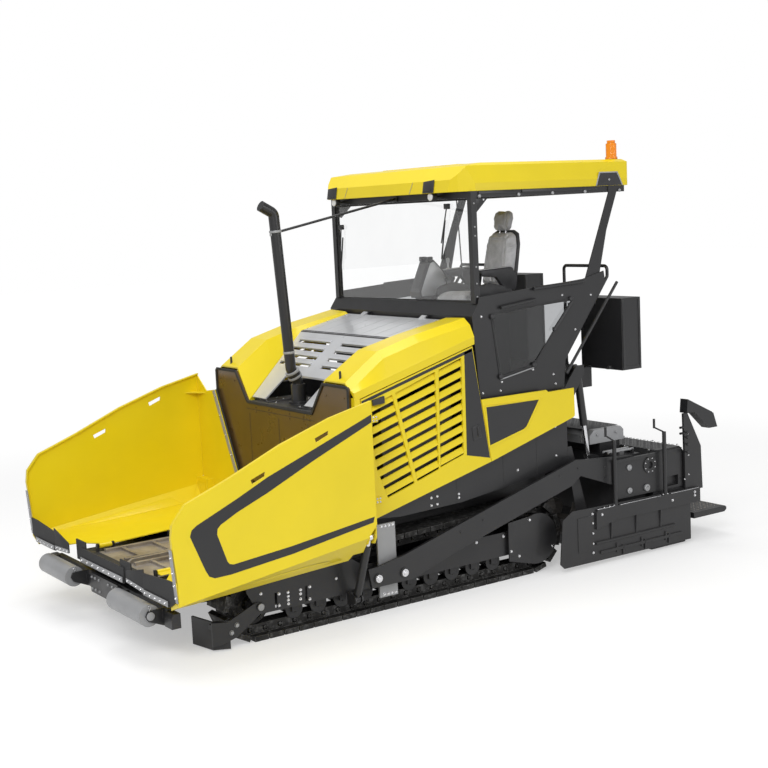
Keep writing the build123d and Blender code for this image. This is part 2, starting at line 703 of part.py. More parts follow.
# ---------------------------------------------------------------- push beam and rollers
BEAM_X = (PUSH_ROLLER_X - 170, PUSH_ROLLER_X - 105)
BEAM_HALF = 1200.0
ROLLER_AXLE = 22.0
with BuildPart() as push_beam:
    rear, front = BEAM_X
    side_prism(
        [(rear, 300), (rear, 455), (front - 20, 455), (front, 430), (front, 320), (front - 20, 300)],
        -BEAM_HALF,
        BEAM_HALF,
    )
    block((PUSH_PIN_X - 40, rear), (-75, 75), (300, 455))
    upright(PUSH_PIN_X, 0, 300, 455, 25 + PIN_CLEAR, Mode.SUBTRACT)
    block((front, front + 22), (-300, 300), (290, 465))
    for side in (-1, 1):
        for y in (PUSH_ROLLER_Y[0] - CLEAR - 16, PUSH_ROLLER_Y[1] + CLEAR):
            inner, outer = sorted((side * y, side * (y + 16)))
            side_prism(
                [
                    (front - 25, PUSH_ROLLER_Z - 106),
                    (front - 25, PUSH_ROLLER_Z + 49),
                    (PUSH_ROLLER_X + 20, PUSH_ROLLER_Z + 40),
                    (PUSH_ROLLER_X + 38, PUSH_ROLLER_Z),
                    (PUSH_ROLLER_X + 20, PUSH_ROLLER_Z - 40),
                ],
                inner,
                outer,
            )
        axle_end = (PUSH_ROLLER_Y[0] - CLEAR - 8, PUSH_ROLLER_Y[1] + CLEAR + 8)
        inner, outer = sorted((side * axle_end[0], side * axle_end[1]))
        cross_shaft(PUSH_ROLLER_X, PUSH_ROLLER_Z, inner, outer, ROLLER_AXLE)
        inner, outer = sorted((side * BEAM_HALF, side * (BEAM_HALF + 130)))
        side_prism(
            [(rear, 320), (rear, 440), (front - 5, 440), (front + 15, 400), (front + 15, 320)], inner, outer
        )
store(push_beam, "push_beam")
with BuildPart() as push_roller:
    cross_shaft(PUSH_ROLLER_X, PUSH_ROLLER_Z, *PUSH_ROLLER_Y, PUSH_ROLLER_RADIUS)
    cross_shaft(PUSH_ROLLER_X, PUSH_ROLLER_Z, *PUSH_ROLLER_Y, ROLLER_AXLE + PIN_CLEAR, Mode.SUBTRACT)
store_pair(push_roller, "push_roller")

# ---------------------------------------------------------------- bulkhead, engine and cowling
HORN_Z = 2020.0
with BuildPart() as bulkhead:
    cross_prism(
        [
            (-1214, 720),
            (-1214, HORN_Z - 20),
            (-1190, HORN_Z),
            (-800, HORN_Z),
            (-590, SHELF_Z),
            (590, SHELF_Z),
            (800, HORN_Z),
            (1190, HORN_Z),
            (1214, HORN_Z - 20),
            (1214, 720),
            (TUNNEL_HALF, 720),
            (TUNNEL_HALF, DECK_Z - 20),
            (-TUNNEL_HALF, DECK_Z - 20),
            (-TUNNEL_HALF, 720),
        ],
        BULKHEAD_X - BULKHEAD_THICKNESS,
        BULKHEAD_X,
    )
store(bulkhead, "bulkhead")

with BuildPart() as engine:
    block((60, 900), (-420, 420), (DECK_Z, 1650))
    chamfer(engine.edges().filter_by(Axis.X), 60)
    for side in (-1, 1):
        inner, outer = sorted((side * 1050, side * 1150))
        block((90, 860), (inner, outer), (DECK_Z, 1820))
store(engine, "engine")

SPLIT_TOP, SPLIT_BOTTOM = (-85.0, 2246.0), (-251.0, 1174.0)  # gap between door and rear panel
SEAM_FRONT = (1137.0, 1906.0)
LOWER_FRONT = (1041.0, 858.0)
DOOR_GAP = 6.0
DOOR_Y = BODY_Y - 20
DOOR_HINGE = (1150.0, 1287.0)
DOOR_HINGE_Z = (990.0, 1700.0)  # lower ends of the two knuckles
DOOR_KNUCKLE = 60.0
DOOR_PIN = 6.0


def seam_z(x):
    """Height of the seam between the shoulder and the door."""
    rise = (SPLIT_TOP[1] - SEAM_FRONT[1]) / (SEAM_FRONT[0] - SPLIT_TOP[0])
    return SEAM_FRONT[1] + (SEAM_FRONT[0] - x) * rise


SHOULDER = (  # x, inner seam y and z, crest y and z
    (1200.0, 600.0, 1750.0, 800.0, 2050.0, 2050.0),
    (850.0, 700.0, 2030.0, 830.0, 2285.0, 2290.0),
    (460.0, 800.0, 2335.0, 860.0, 2385.0, 2395.0),
    (-110.0, 800.0, 2465.0, 860.0, 2490.0, 2500.0),
)


def shoulder_section(x, seam_y, inner_z, crest_y, inner_crest, outer_crest, inset):
    """Give the (y, z) outline of a shoulder, moved inwards by inset."""
    low = seam_z(x) + 14 + (inset and -40)
    return [
        (seam_y + inset, min(inner_z, low + 200) - 60 - (inset and 40)),
        (seam_y + inset, inner_z - inset),
        (crest_y + inset, inner_crest - inset),
        (1130 - inset * 0.5, outer_crest - inset),
        (1215 - inset * 0.8, outer_crest - 60 - inset * 0.7),
        (BODY_Y - inset, low + 70),
        (BODY_Y - inset, low),
    ]


with BuildPart() as side_panel:
    for inset in (0.0, 14.0):
        for station in SHOULDER:
            with BuildSketch(Plane.YZ.offset(station[0])):
                with BuildLine():
                    Polyline(*shoulder_section(*station, inset), close=True)
                make_face()
        loft(ruled=True, mode=Mode.SUBTRACT if inset else Mode.ADD)
    # front post beside the bulkhead with the door's hinge lugs
    side_prism([(1050, 850), (1146, 1913), (1150, 1940), (1200, 1925), (1200, 850)], 1216, BODY_Y)
    for z in DOOR_HINGE_Z:
        for low in (z - CLEAR - LUG, z + DOOR_KNUCKLE + CLEAR):
            block((1138, 1162), (BODY_Y - 2, DOOR_HINGE[1] + 12), (low, low + LUG))
        upright(*DOOR_HINGE, z - CLEAR - LUG, z + DOOR_KNUCKLE + CLEAR + LUG, DOOR_PIN)
    # fixed panel behind the door
    side_prism(
        [
            (SPLIT_BOTTOM[0] - DOOR_GAP, SPLIT_BOTTOM[1]),
            (-1273, 1458),
            (-1289, 1475),
            (-1285, 1738),
            (-964, 1734),
            (-940, 1756),
            (-165, 1756),
        ],
        BODY_Y - 16,
        BODY_Y,
    )
    for x in (-350, -1200):
        block((x - 25, x + 25), (SKIRT_Y, BODY_Y - 16), (1500, 1690))
store_both(side_panel, "side_panels")

# grille of the door: openings between the ribs, and the tilted blades that fill them
GRILLE = (  # x, z corners of the three openings
    ((45, 2160), (302, 2078), (325, 1205), (60, 1285)),
    ((342, 2066), (777, 1927), (583, 1118), (342, 1192)),
    ((811, 1916), (1028, 1848), (1034, 1500), (1005, 1290), (905, 1022), (617, 1107)),
)
BLADE_PITCH = 98.0
BLADE_COUNT = 10
BLADE_SLOPE = 0.3  # rise of a blade from front to rear
BLADE_LOW = 1218.0  # height of the lowest blade at x = 0
BLADE = ((BODY_Y - 2, 0), (BODY_Y - 2, 7), (BODY_Y - 27, 52), (BODY_Y - 36, 52))  # y, height across
blade_run = Vector(1, 0, -BLADE_SLOPE).normalized()
with BuildPart() as blades:
    for index in range(BLADE_COUNT):
        start = Vector(0, 0, BLADE_LOW + BLADE_PITCH * index)
        with BuildSketch(Plane(origin=start, x_dir=(0, 1, 0), z_dir=blade_run)) as blade:
            Polygon(*BLADE, align=None)
        extrude(blade.sketch, amount=1090)
    with BuildSketch(Plane.XZ.offset(-BODY_Y)) as openings:
        for corners in GRILLE:
            Polygon(*corners, align=None)
        offset(amount=6)
    extrude(openings.sketch, amount=60, dir=(0, -1, 0), mode=Mode.INTERSECT)

with BuildPart() as door:
    side_prism(
        [
            (LOWER_FRONT[0], LOWER_FRONT[1]),
            (SEAM_FRONT[0], SEAM_FRONT[1] + 4),
            (SPLIT_TOP[0], SPLIT_TOP[1] + 4),
            (-154, 1767),
            SPLIT_BOTTOM,
        ],
        DOOR_Y,
        BODY_Y,
    )
    for corners in GRILLE:
        side_prism(corners, DOOR_Y, BODY_Y, Mode.SUBTRACT)
    add(blades.part)
    for z in DOOR_HINGE_Z:
        block((980, DOOR_HINGE[0]), (BODY_Y + CLEAR, BODY_Y + CLEAR + 8), (z, z + DOOR_KNUCKLE))
        block((980, 1040), (BODY_Y, BODY_Y + CLEAR), (z, z + DOOR_KNUCKLE))
        upright(*DOOR_HINGE, z, z + DOOR_KNUCKLE, 12)
        upright(*DOOR_HINGE, z, z + DOOR_KNUCKLE, DOOR_PIN + PIN_CLEAR, Mode.SUBTRACT)
store_pair(door, "door")

HOOD_REAR = -104.0
HOOD_SHEET = 12.0
HOOD_HINGE = (-126.0, 2484.0)
HOOD_PIN = 7.0
HOOD_KNUCKLE_Y = (465.0, 535.0)
HOOD_CREASE = (460.0, 2347.0)
HOOD_FRONT = (1160.0, 1778.0)
HOOD_FALL = (HOOD_CREASE[1] - HOOD_FRONT[1]) / (HOOD_FRONT[0] - HOOD_CREASE[0])
LOUVRE_COUNT = 4
LOUVRE_X = 549.0
LOUVRE_PITCH = 77.0
LOUVRE_Y = (100.0, 665.0)
GROOVE_Y = (-660, -440, -220, 0, 220, 440, 660)
with BuildPart() as hood:
    side_prism(
        [
            HOOD_FRONT,
            HOOD_CREASE,
            (HOOD_REAR, 2470),
            (HOOD_REAR, 2470 - HOOD_SHEET),
            (HOOD_CREASE[0] - 3, HOOD_CREASE[1] - HOOD_SHEET - 2),
            (HOOD_FRONT[0] - 10, HOOD_FRONT[1] - HOOD_SHEET),
        ],
        -900,
        900,
    )
    plan_prism(
        [
            (1160, 606),
            (850, 694),
            (460, 794),
            (HOOD_REAR, 794),
            (HOOD_REAR, -794),
            (460, -794),
            (850, -694),
            (1160, -606),
        ],
        1700,
        2500,
        Mode.INTERSECT,
    )
    block((900, 1200), (-360, 360), (1700, 2200), Mode.SUBTRACT)
    # louvres on the slope, each with a raised lip over its slot
    for index in range(LOUVRE_COUNT):
        x = LOUVRE_X + LOUVRE_PITCH * index
        z = HOOD_CREASE[1] - HOOD_FALL * (x - HOOD_CREASE[0])
        for side in (-1, 1):
            inner, outer = sorted(side * y for y in LOUVRE_Y)
            block((x, x + 32), (inner, outer), (z - 60, z + 20), Mode.SUBTRACT)
            lip = [(x - 12, z), (x - 10, z + 16), (x + 16, z + 2), (x + 12, z - 6), (x, z - 8)]
            side_prism(lip, inner, outer)
    # pressed grooves on the rear part
    for y in GROOVE_Y:
        groove = [(430, 2347), (430, 2360), (-60, 2467), (-60, 2453)]
        side_prism(groove, y - 4, y + 4, Mode.SUBTRACT)
    for side in (-1, 1):
        inner, outer = sorted(side * y for y in HOOD_KNUCKLE_Y)
        cross_shaft(*HOOD_HINGE, inner, outer, 14)
        side_prism([(-134, 2474), (-118, 2495), (-70, 2465), (-70, 2453)], inner, outer)
        cross_shaft(*HOOD_HINGE, inner, outer, HOOD_PIN + PIN_CLEAR, Mode.SUBTRACT)
store(hood, "hood")

# ---------------------------------------------------------------- exhaust
PIPE_X = 1000.0
PIPE_TOP = ROOF_Z - 40
with BuildPart() as exhaust:
    # shelf plate between the horns of the bulkhead
    block((700, BULKHEAD_X - BULKHEAD_THICKNESS), (-560, 560), (SHELF_Z, SHELF_Z + 8))
    for side in (-1, 1):
        inner, outer = sorted((side * 500, side * 540))
        block((740, 780), (inner, outer), (DECK_Z, SHELF_Z))
    upright(PIPE_X, 0, SHELF_Z + 8, SHELF_Z + 28, 95)
    upright(PIPE_X, 0, SHELF_Z + 28, SHELF_Z + 190, 68)
    bent_tube(
        [
            (PIPE_X, 0, SHELF_Z + 8),
            (PIPE_X, 0, 1950),
            (PIPE_X + 68, 0, 2080),
            (PIPE_X + 158, 0, PIPE_TOP - 73),
            (PIPE_X + 290, 0, PIPE_TOP),
        ],
        60,
        50,
    )
    rod_between((PIPE_X + 18, 0, 1984), (PIPE_X + 53, 0, 2051), 64)
    # brace to the canopy's front beam
    brace_end = POST_X + 36
    rod_between((PIPE_X + 146, 0, PIPE_TOP - 248), (brace_end, 0, ROOF_Z - 30), 12)
    block((brace_end - 6, brace_end + 6), (-30, 30), (ROOF_Z - 55, ROOF_Z - 5))
store(exhaust, "exhaust")

# ---------------------------------------------------------------- platform
PLATFORM_PLATE = 50.0
RAIL_Z = 1700.0  # top of the skirts that carry the platform
WALL = 12.0
with BuildPart() as platform_floor:
    block((-1240, -230), (-1188, 1188), (PLATFORM_Z - PLATFORM_PLATE, PLATFORM_Z))
    for side in (-1, 1):
        inner, outer = sorted((side * 1140, side * 1188))
        block((-1240, -230), (inner, outer), (RAIL_Z, PLATFORM_Z - PLATFORM_PLATE))
    block((-1900, -1252), (-860, 860), (1650, PLATFORM_Z))
    block((-1260, -1230), (-860, 860), (PLATFORM_Z - PLATFORM_PLATE, PLATFORM_Z))
store(platform_floor, "platform_floor")

SIDE_WINDOW = ((-372, 2504), (-1358, 2573), (-856, 1998), (-451, 1928))
with BuildPart() as platform_walls:
    for side in (-1, 1):
        inner, outer = sorted((side * (WALL_Y - WALL), side * WALL_Y))
        side_prism(
            [
                (-210, 1740),
                (PLATFORM_FRONT, 2512),
                (-225, SILL_Z),
                (-239, 2678),
                (-1510, 2758),
                (-1778, 2819),
                (-1795, 2704),
                (-1259, 2026),
                (-1224, 1740),
            ],
            inner,
            outer,
        )
        side_prism(SIDE_WINDOW, inner, outer, Mode.SUBTRACT)
        # lugs and pin of the hood's hinge
        for y in (HOOD_KNUCKLE_Y[0] - CLEAR - LUG, HOOD_KNUCKLE_Y[1] + CLEAR):
            inner, outer = sorted((side * y, side * (y + LUG)))
            side_prism([(-160, 2440), (-160, 2500), (-124, 2496), (-115, 2486), (-120, 2472)], inner, outer)
        pin_end = (HOOD_KNUCKLE_Y[0] - CLEAR - LUG, HOOD_KNUCKLE_Y[1] + CLEAR + LUG)
        inner, outer = sorted(side * y for y in pin_end)
        cross_shaft(*HOOD_HINGE, inner, outer, HOOD_PIN)
    # front wall with its sill
    side_prism(
        [
            (-210, 1740),
            (PLATFORM_FRONT, 2512),
            (-225, SILL_Z),
            (-270, SILL_Z),
            (-270, SILL_Z - 20),
            (-237, SILL_Z - 20),
            (-160, 2510),
            (-222, 1740),
        ],
        WALL - WALL_Y,
        WALL_Y - WALL,
    )
store(platform_walls, "platform_walls")

GLASS = 6.0
with BuildPart() as window_glass:
    for side in (-1, 1):
        inner, outer = sorted((side * (WALL_Y - 9), side * (WALL_Y - 9 + GLASS)))
        side_prism(SIDE_WINDOW, inner, outer)
    block((POST_X - 3, POST_X + 3), (30 - POST_Y, POST_Y - 30), (SILL_Z, ROOF_Z - 60))
store(window_glass, "window_glass")

with BuildPart() as canopy_frame:
    for side in (-1, 1):
        inner, outer = sorted((side * (POST_Y - 30), side * (POST_Y + 30)))
        block((POST_X - 30, POST_X + 30), (inner, outer), (SILL_Z, ROOF_Z - 60))
        block((-2100, POST_X + 30), (inner, outer), (ROOF_Z - 60, ROOF_Z))
        # rear post plate on the inner face of the side wall
        inner, outer = sorted((side * (WALL_Y - 2 * WALL), side * (WALL_Y - WALL)))
        side_prism(
            [
                (-1500, 2640),
                (-1557, 2774),
                (-1880, 3560),
                (-1880, ROOF_Z),
                (-2010, ROOF_Z),
                (-1840, 3209),
                (-1720, 2740),
            ],
            inner,
            outer,
        )
    block((POST_X - 30, POST_X + 30), (-POST_Y, POST_Y), (ROOF_Z - 60, ROOF_Z))
    block((-2100, -2040), (-POST_Y, POST_Y), (ROOF_Z - 60, ROOF_Z))
store(canopy_frame, "canopy_frame")

ROOF_SHEET = 12.0
ROOF_MIDDLE = (ROOF_FRONT + ROOF_REAR) / 2
ROOF_SIDE = (  # x, z of the outline seen from the side
    (ROOF_FRONT, ROOF_Z),
    (ROOF_FRONT - 20, 3740),
    (ROOF_FRONT - 130, 3860),
    (ROOF_FRONT - 330, ROOF_TOP),
    (ROOF_REAR + 40, ROOF_TOP),
    (ROOF_REAR + 10, 3840),
    (ROOF_REAR, ROOF_Z),
)
ROOF_CROSS = (  # y, z of one half of the outline seen from the front
    (ROOF_HALF, ROOF_Z),
    (ROOF_HALF, 3700),
    (ROOF_HALF - 50, 3860),
    (ROOF_HALF - 105, ROOF_TOP),
)
ROOF_PLAN = (  # x, y of one half of the outline seen from above
    (ROOF_FRONT, ROOF_HALF - 170),
    (ROOF_FRONT - 60, ROOF_HALF - 90),
    (ROOF_FRONT - 190, ROOF_HALF),
    (ROOF_REAR + 70, ROOF_HALF),
    (ROOF_REAR, ROOF_HALF - 70),
)
domes = []
for shrink in (0.0, ROOF_SHEET):
    with BuildPart() as dome:
        side = [(x - shrink if x > ROOF_MIDDLE else x + shrink, z - shrink) for x, z in ROOF_SIDE]
        side_prism([(side[0][0], ROOF_Z), *side[1:-1], (side[-1][0], ROOF_Z)], -ROOF_HALF, ROOF_HALF)
        cross = [(y - shrink, z - shrink) for y, z in ROOF_CROSS]
        cross[0] = (cross[0][0], ROOF_Z)
        cross_prism([*cross, *((-y, z) for y, z in reversed(cross))], ROOF_REAR, ROOF_FRONT, Mode.INTERSECT)
        plan = [(x - shrink if x > ROOF_MIDDLE else x + shrink, y - shrink) for x, y in ROOF_PLAN]
        plan_prism([*plan, *((x, -y) for x, y in reversed(plan))], ROOF_Z, ROOF_TOP, Mode.INTERSECT)
    domes.append(dome.part)
with BuildPart() as roof:
    add(domes[0])
    add(domes[1], mode=Mode.SUBTRACT)
    # crease panel and trough along the roof's middle
    block((-1900, -500), (-620, 620), (ROOF_TOP - ROOF_SHEET, ROOF_TOP + 10))
store(roof, "roof")

with BuildPart() as work_lamps:
    for y in (710, -950):
        long_shaft(y, 3600, -150, -100, 45)
        block((-208, -150), (y - 12, y + 12), (3590, 3610))
store(work_lamps, "work_lamps")
BEACON_X, BEACON_Y = ROOF_REAR + 100, 1000.0
with BuildPart() as beacon:
    upright(BEACON_X, BEACON_Y, ROOF_TOP, ROOF_TOP + 25, 60)
    upright(BEACON_X, BEACON_Y, ROOF_TOP + 25, ROOF_TOP + 155, 52)
    upright(BEACON_X, BEACON_Y, ROOF_TOP + 155, ROOF_TOP + 185, 40)
store(beacon, "beacon")

SEAT_Y = 600.0
SEAT_HALF = 240.0
CUSHION_Z = 2700.0
with BuildPart() as seat_bases:
    block((-900, -480), (SEAT_Y - 200, SEAT_Y + 200), (PLATFORM_Z, CUSHION_Z - 140))
    # console beside the seat with its sloping panel
    block((-700, -560), (90, 190), (PLATFORM_Z, 2640))
    side_prism([(-760, 2640), (-300, 2640), (-290, 2700), (-420, 2980), (-470, 3000), (-760, 2720)], 60, 220)
store(seat_bases, "seat_bases")
with BuildPart() as seats:
    block((-960, -330), (SEAT_Y - SEAT_HALF, SEAT_Y + SEAT_HALF), (CUSHION_Z - 140, CUSHION_Z))
    side_prism(
        [(-860, CUSHION_Z), (-960, CUSHION_Z - 60), (-1080, 3230), (-990, 3240)],
        SEAT_Y - SEAT_HALF + 10,
        SEAT_Y + SEAT_HALF - 10,
    )
    side_prism([(-995, 3225), (-1075, 3225), (-1105, 3440), (-1030, 3450)], SEAT_Y - 140, SEAT_Y + 140)
store(seats, "seats")

BOX_X = (-2180.0, -1925.0)
REAR_BOXES = (  # inner and outer y, bottom and top
    (694.0, 1276.0, 1835.0, 2540.0),
    (-620.0, -150.0, 1830.0, 2755.0),
)
with BuildPart() as rear_boxes:
    for y_from, y_to, bottom, top in REAR_BOXES:
        block(BOX_X, (y_from, y_to), (bottom, top))
        middle = min(y_from + 90, 780)
        block((BOX_X[1], -1900), (middle - 60, middle + 60), (bottom, bottom + 20))
store(rear_boxes, "rear_boxes")

RAIL_RADIUS = 16.0
with BuildPart() as handrail:
    bent_tube(
        [
            (-1215, 1160, PLATFORM_Z),
            (-1215, 1160, 1940),
            (-1860, 1160, 2760),
            (-1860, 1160, 2860),
            (-1860, 540, 2860),
            (-1860, 540, PLATFORM_Z),
        ],
        40,
        RAIL_RADIUS,
    )
store_both(handrail, "handrails")

# ---------------------------------------------------------------- screed and its arms
TOW_PIN = 40.0
GUIDE_Y = (ARM_Y[0] - 65, ARM_Y[0] - 45)
with BuildPart() as tow_guide:
    block((840, 1030), GUIDE_Y, (150, 800))
    block((870, 1000), (OUTER_PLATE[1], GUIDE_Y[0]), (290, 420))
    cross_shaft(TOW_X, TOW_Z, GUIDE_Y[1], ARM_Y[1] - 11, TOW_PIN)
store_both(tow_guide, "tow_guides")

with BuildPart() as tow_arm:
    side_prism(
        [
            (1187, 449),
            (1057, 455),
            (797, 508),
            (-1210, 1050),
            (-1278, 1050),
            (-1980, 993),
            (-1980, 748),
            (-1676, 748),
            (-1281, 893),
            (-1171, 815),
            (196, 443),
            (728, 277),
            (1155, 275),
        ],
        *ARM_Y,
    )
    block((-1980, -1720), (SCREED_HALF, ARM_Y[0]), (760, 980))
    cross_shaft(TOW_X, TOW_Z, ARM_Y[0], ARM_Y[1] - 10, TOW_PIN + PIN_CLEAR, Mode.SUBTRACT)
    for x in (1089, 813):
        cross_shaft(x, TOW_Z, ARM_Y[1], ARM_Y[1] + 12, 45)
store_both(tow_arm, "tow_arms")

LIFT_LUG = (27.0, 37.0)  # from the middle of the eye to the faces of each lug
SCREED_TOP = 990.0
COVER_HALF = 1000.0
with BuildPart() as screed_frame:
    side_prism(
        [
            (SCREED_SPLIT, SCREED_Z),
            (-1720, SCREED_Z),
            (SCREED_FRONT, 20),
            (SCREED_FRONT, 330),
            (-1760, 400),
            (-1760, 900),
            (-1840, SCREED_TOP),
            (-2130, SCREED_TOP),
            (SCREED_SPLIT, 930),
        ],
        -SCREED_HALF,
        SCREED_HALF,
    )
    # room for the tampers and heaters, closed by the cover
    block((SCREED_SPLIT + 70, -1860), (-COVER_HALF + 20, COVER_HALF - 20), (60, SCREED_TOP), Mode.SUBTRACT)
    lug = [(-1780, 840), (-1780, 930), (-1700, 1010), (-1640, 1026), (-1580, 1026), (-1574, 960)]
    lug.append((-1620, 940))
    for side in (-1, 1):
        for y in (LIFT_Y - LIFT_LUG[1], LIFT_Y + LIFT_LUG[0]):
            inner, outer = sorted((side * y, side * (y + 10)))
            side_prism(lug, inner, outer)
store(screed_frame, "screed_frame")
with BuildPart() as screed_cover:
    block((-2120, -1850), (-COVER_HALF, COVER_HALF), (SCREED_TOP, 1100))
    side_prism(
        [(-2160, 1100), (-2160, 1200), (-2120, 1237), (-1760, 1237), (-1700, 1180), (-1700, 1100)],
        -COVER_HALF - 20,
        COVER_HALF + 20,
    )
store(screed_cover, "screed_cover")

EXTENSION_FRONT = SCREED_SPLIT - 10
EXTENSION_INNER = 5.0
END_Y = SCREED_HALF + 70  # outer end of the extension's box
END_PLATE = 12.0
GATE_PLATE = (GATE_Y - 32, GATE_Y - 20)
GATE_END = -2820.0
POST_FOOT = 500.0
CRANKS = (  # x of the post, x at the end of the crank, height of the crank's end
    (-1660.0, -1552.0, 1253.0),
    (-2340.0, -2204.0, 1250.0),
)
SOCKET = (-2182.0, 870.0)  # x, z of the round socket in the end plate
with BuildPart() as extension:
    side_prism(
        [
            (SCREED_REAR, SCREED_Z),
            (EXTENSION_FRONT, SCREED_Z),
            (EXTENSION_FRONT, 300),
            (-2240, 360),
            (-2240, 900),
            (-2300, 1000),
            (-2620, 1000),
            (SCREED_REAR, 940),
        ],
        EXTENSION_INNER,
        END_Y,
    )
    # hollow box, open at its inner end, and the beam that slides on the basic screed
    block((SCREED_REAR + 40, -2280), (EXTENSION_INNER, END_Y - 40), (50, 900), Mode.SUBTRACT)
    block((-2260, SCREED_SPLIT - 0.3), (20, SCREED_HALF - 20), (500, 620))
    # end plate beside the tow arm, with a flanged socket, a slot and a rail along its top
    block((-2640, -1690), (END_Y, END_Y + END_PLATE), (590, 985))
    cross_shaft(*SOCKET, END_Y + END_PLATE, END_Y + END_PLATE + 10, 85)
    cross_shaft(*SOCKET, END_Y + 2, END_Y + END_PLATE + 10, 36, Mode.SUBTRACT)
    block((-2580, -2410), (END_Y - 30, END_Y + END_PLATE), (615, 715), Mode.SUBTRACT)
    block((-2240, -1690), (END_Y + END_PLATE, END_Y + END_PLATE + 22), (958, 985))
    # end wall, end gate and beam
    block((-2690, -2205), (END_Y, GATE_PLATE[0]), (60, 560))
    side_prism([(-935, 96), (-982, 50), (-2695, 39), (-2695, 560), (-1100, 585), (-976, 514)], *GATE_PLATE)
    side_prism(
        [(-1388, 362), (-1390, 520), (-1415, 555), (GATE_END, 555), (GATE_END, 412), (-1650, 420)],
        GATE_PLATE[1],
        GATE_Y,
    )
    block((GATE_END, -2695), (END_Y + 20, GATE_PLATE[1]), (412, 555))
    # stiffeners of the end gate: tube, skid bar, gussets under the beam and front strip
    long_shaft(GATE_PLATE[1] + 6, 228, -2452, -1380, 14)
    block((-2560, -1440), (GATE_PLATE[1], GATE_PLATE[1] + 14), (112, 140))
    for x in (-1590, -1925, -2260):
        gusset = [(GATE_PLATE[1], 214), (GATE_PLATE[1], 425), (GATE_Y, 425), (GATE_PLATE[1] + 8, 214)]
        cross_prism(gusset, x - 8, x + 8)
        block((x - 80, x - 60), (GATE_PLATE[1], GATE_PLATE[1] + 12), (90, 180))
    block((-1360, -1160), (GATE_PLATE[1], GATE_PLATE[1] + 6), (170, 505))
    # height posts with their cranks
    for x, crank_x, crank_z in CRANKS:
        post_top = crank_z - 60
        upright(x, GATE_PLATE[1], POST_FOOT, post_top, 20)
        rod_between((x, GATE_PLATE[1], post_top - 5), (crank_x, GATE_PLATE[1], crank_z), 8)
        upright(crank_x, GATE_PLATE[1], crank_z - 8, crank_z + 84, 12)
    # rear upright with its knobs
    side_prism(
        [(-2698, 1331), (-2884, 972), (-2901, 532), (-2650, 540), (-2650, 900), (-2640, 1331)],
        END_Y + 20,
        END_Y + 44,
    )
    for z in (1130, 1190):
        long_shaft(END_Y + 32, z, -2650, -2600, 12)
    # walkway
    block((-2740, SCREED_REAR), (60, END_Y - 40), (200, 290))
    side_prism(
        [(-2740, 240), (-2740, 300), (-3200, 300), (-3220, 285), (-3220, 262), (-3190, 240)],
        EXTENSION_INNER,
        END_Y + 70,
    )
    # control box
    side_prism(
        [(-2675, 1331), (-2690, 1471), (-3060, 1290), (-3115, 1140), (-2990, 1140), (-2780, 1331)],
        END_Y - 40,
        END_Y + 60,
    )
store_pair(extension, "extension")

LIFT_BARREL = 38.0
LIFT_ROD = 22.0
LIFT_PIN = 18.0
LIFT_PLATE = (43.0, 55.0)  # from the middle of the cylinder to the faces of each bracket plate
lift_top = Vector(LIFT_TOP[0], LIFT_Y, LIFT_TOP[1])
lift_foot = Vector(LIFT_FOOT[0], LIFT_Y, LIFT_FOOT[1])
lift_line, _ = cylinder_line(lift_top, lift_foot)
with BuildPart() as lift_cylinder:
    cross_shaft(*LIFT_TOP, LIFT_Y - LIFT_BARREL, LIFT_Y + LIFT_BARREL, 36)
    rod_between(lift_top, lift_top + lift_line * 560, LIFT_BARREL)
    cross_shaft(*LIFT_TOP, LIFT_Y - LIFT_BARREL, LIFT_Y + LIFT_BARREL, LIFT_PIN + PIN_CLEAR, Mode.SUBTRACT)
    rod_between(lift_top + lift_line * 45, lift_foot, LIFT_ROD + 0.3, Mode.SUBTRACT)
store_both(lift_cylinder, "lift_cylinders")
with BuildPart() as lift_rod:
    rod_between(lift_top + lift_line * 410, lift_foot - lift_line * 15, LIFT_ROD)
    cross_shaft(*LIFT_FOOT, LIFT_Y - LIFT_LUG[0] + CLEAR, LIFT_Y + LIFT_LUG[0] - CLEAR, 30)
store_both(lift_rod, "lift_rods")

# ---------------------------------------------------------------- auger and rear brackets
AUGER_SHAFT = 32.0
AUGER_PIN = 14.0
AUGER_PITCH = 300.0
AUGER_IN, AUGER_OUT = 63.0, 1182.0
GEARBOX_HALF = 60.0
BEARING_Y = (1185.0, 1197.0)
flight_tilt = degrees(atan2(AUGER_PITCH / 4, AUGER_RADIUS))
disc = Cylinder(AUGER_RADIUS, 8)
upper_half = disc & Pos(AUGER_RADIUS, 0, 0) * Box(2 * AUGER_RADIUS, 4 * AUGER_RADIUS, 100)
lower_half = disc & Pos(-AUGER_RADIUS, 0, 0) * Box(2 * AUGER_RADIUS, 4 * AUGER_RADIUS, 100)
with BuildPart() as auger:
    cross_shaft(AUGER_X, AUGER_Z, AUGER_IN, AUGER_OUT, AUGER_SHAFT)
    for index in range(3):
        y = 150 + AUGER_PITCH * index
        add(Pos(AUGER_X, y + AUGER_PITCH / 4, AUGER_Z) * Rot(90 + flight_tilt, 0, 0) * upper_half)
        add(Pos(AUGER_X, y + AUGER_PITCH * 3 / 4, AUGER_Z) * Rot(90 - flight_tilt, 0, 0) * lower_half)
    for low, high in ((AUGER_IN, AUGER_IN + 40), (AUGER_OUT - 40, AUGER_OUT)):
        cross_shaft(AUGER_X, AUGER_Z, low, high, AUGER_PIN + PIN_CLEAR, Mode.SUBTRACT)
store_pair(auger, "auger")

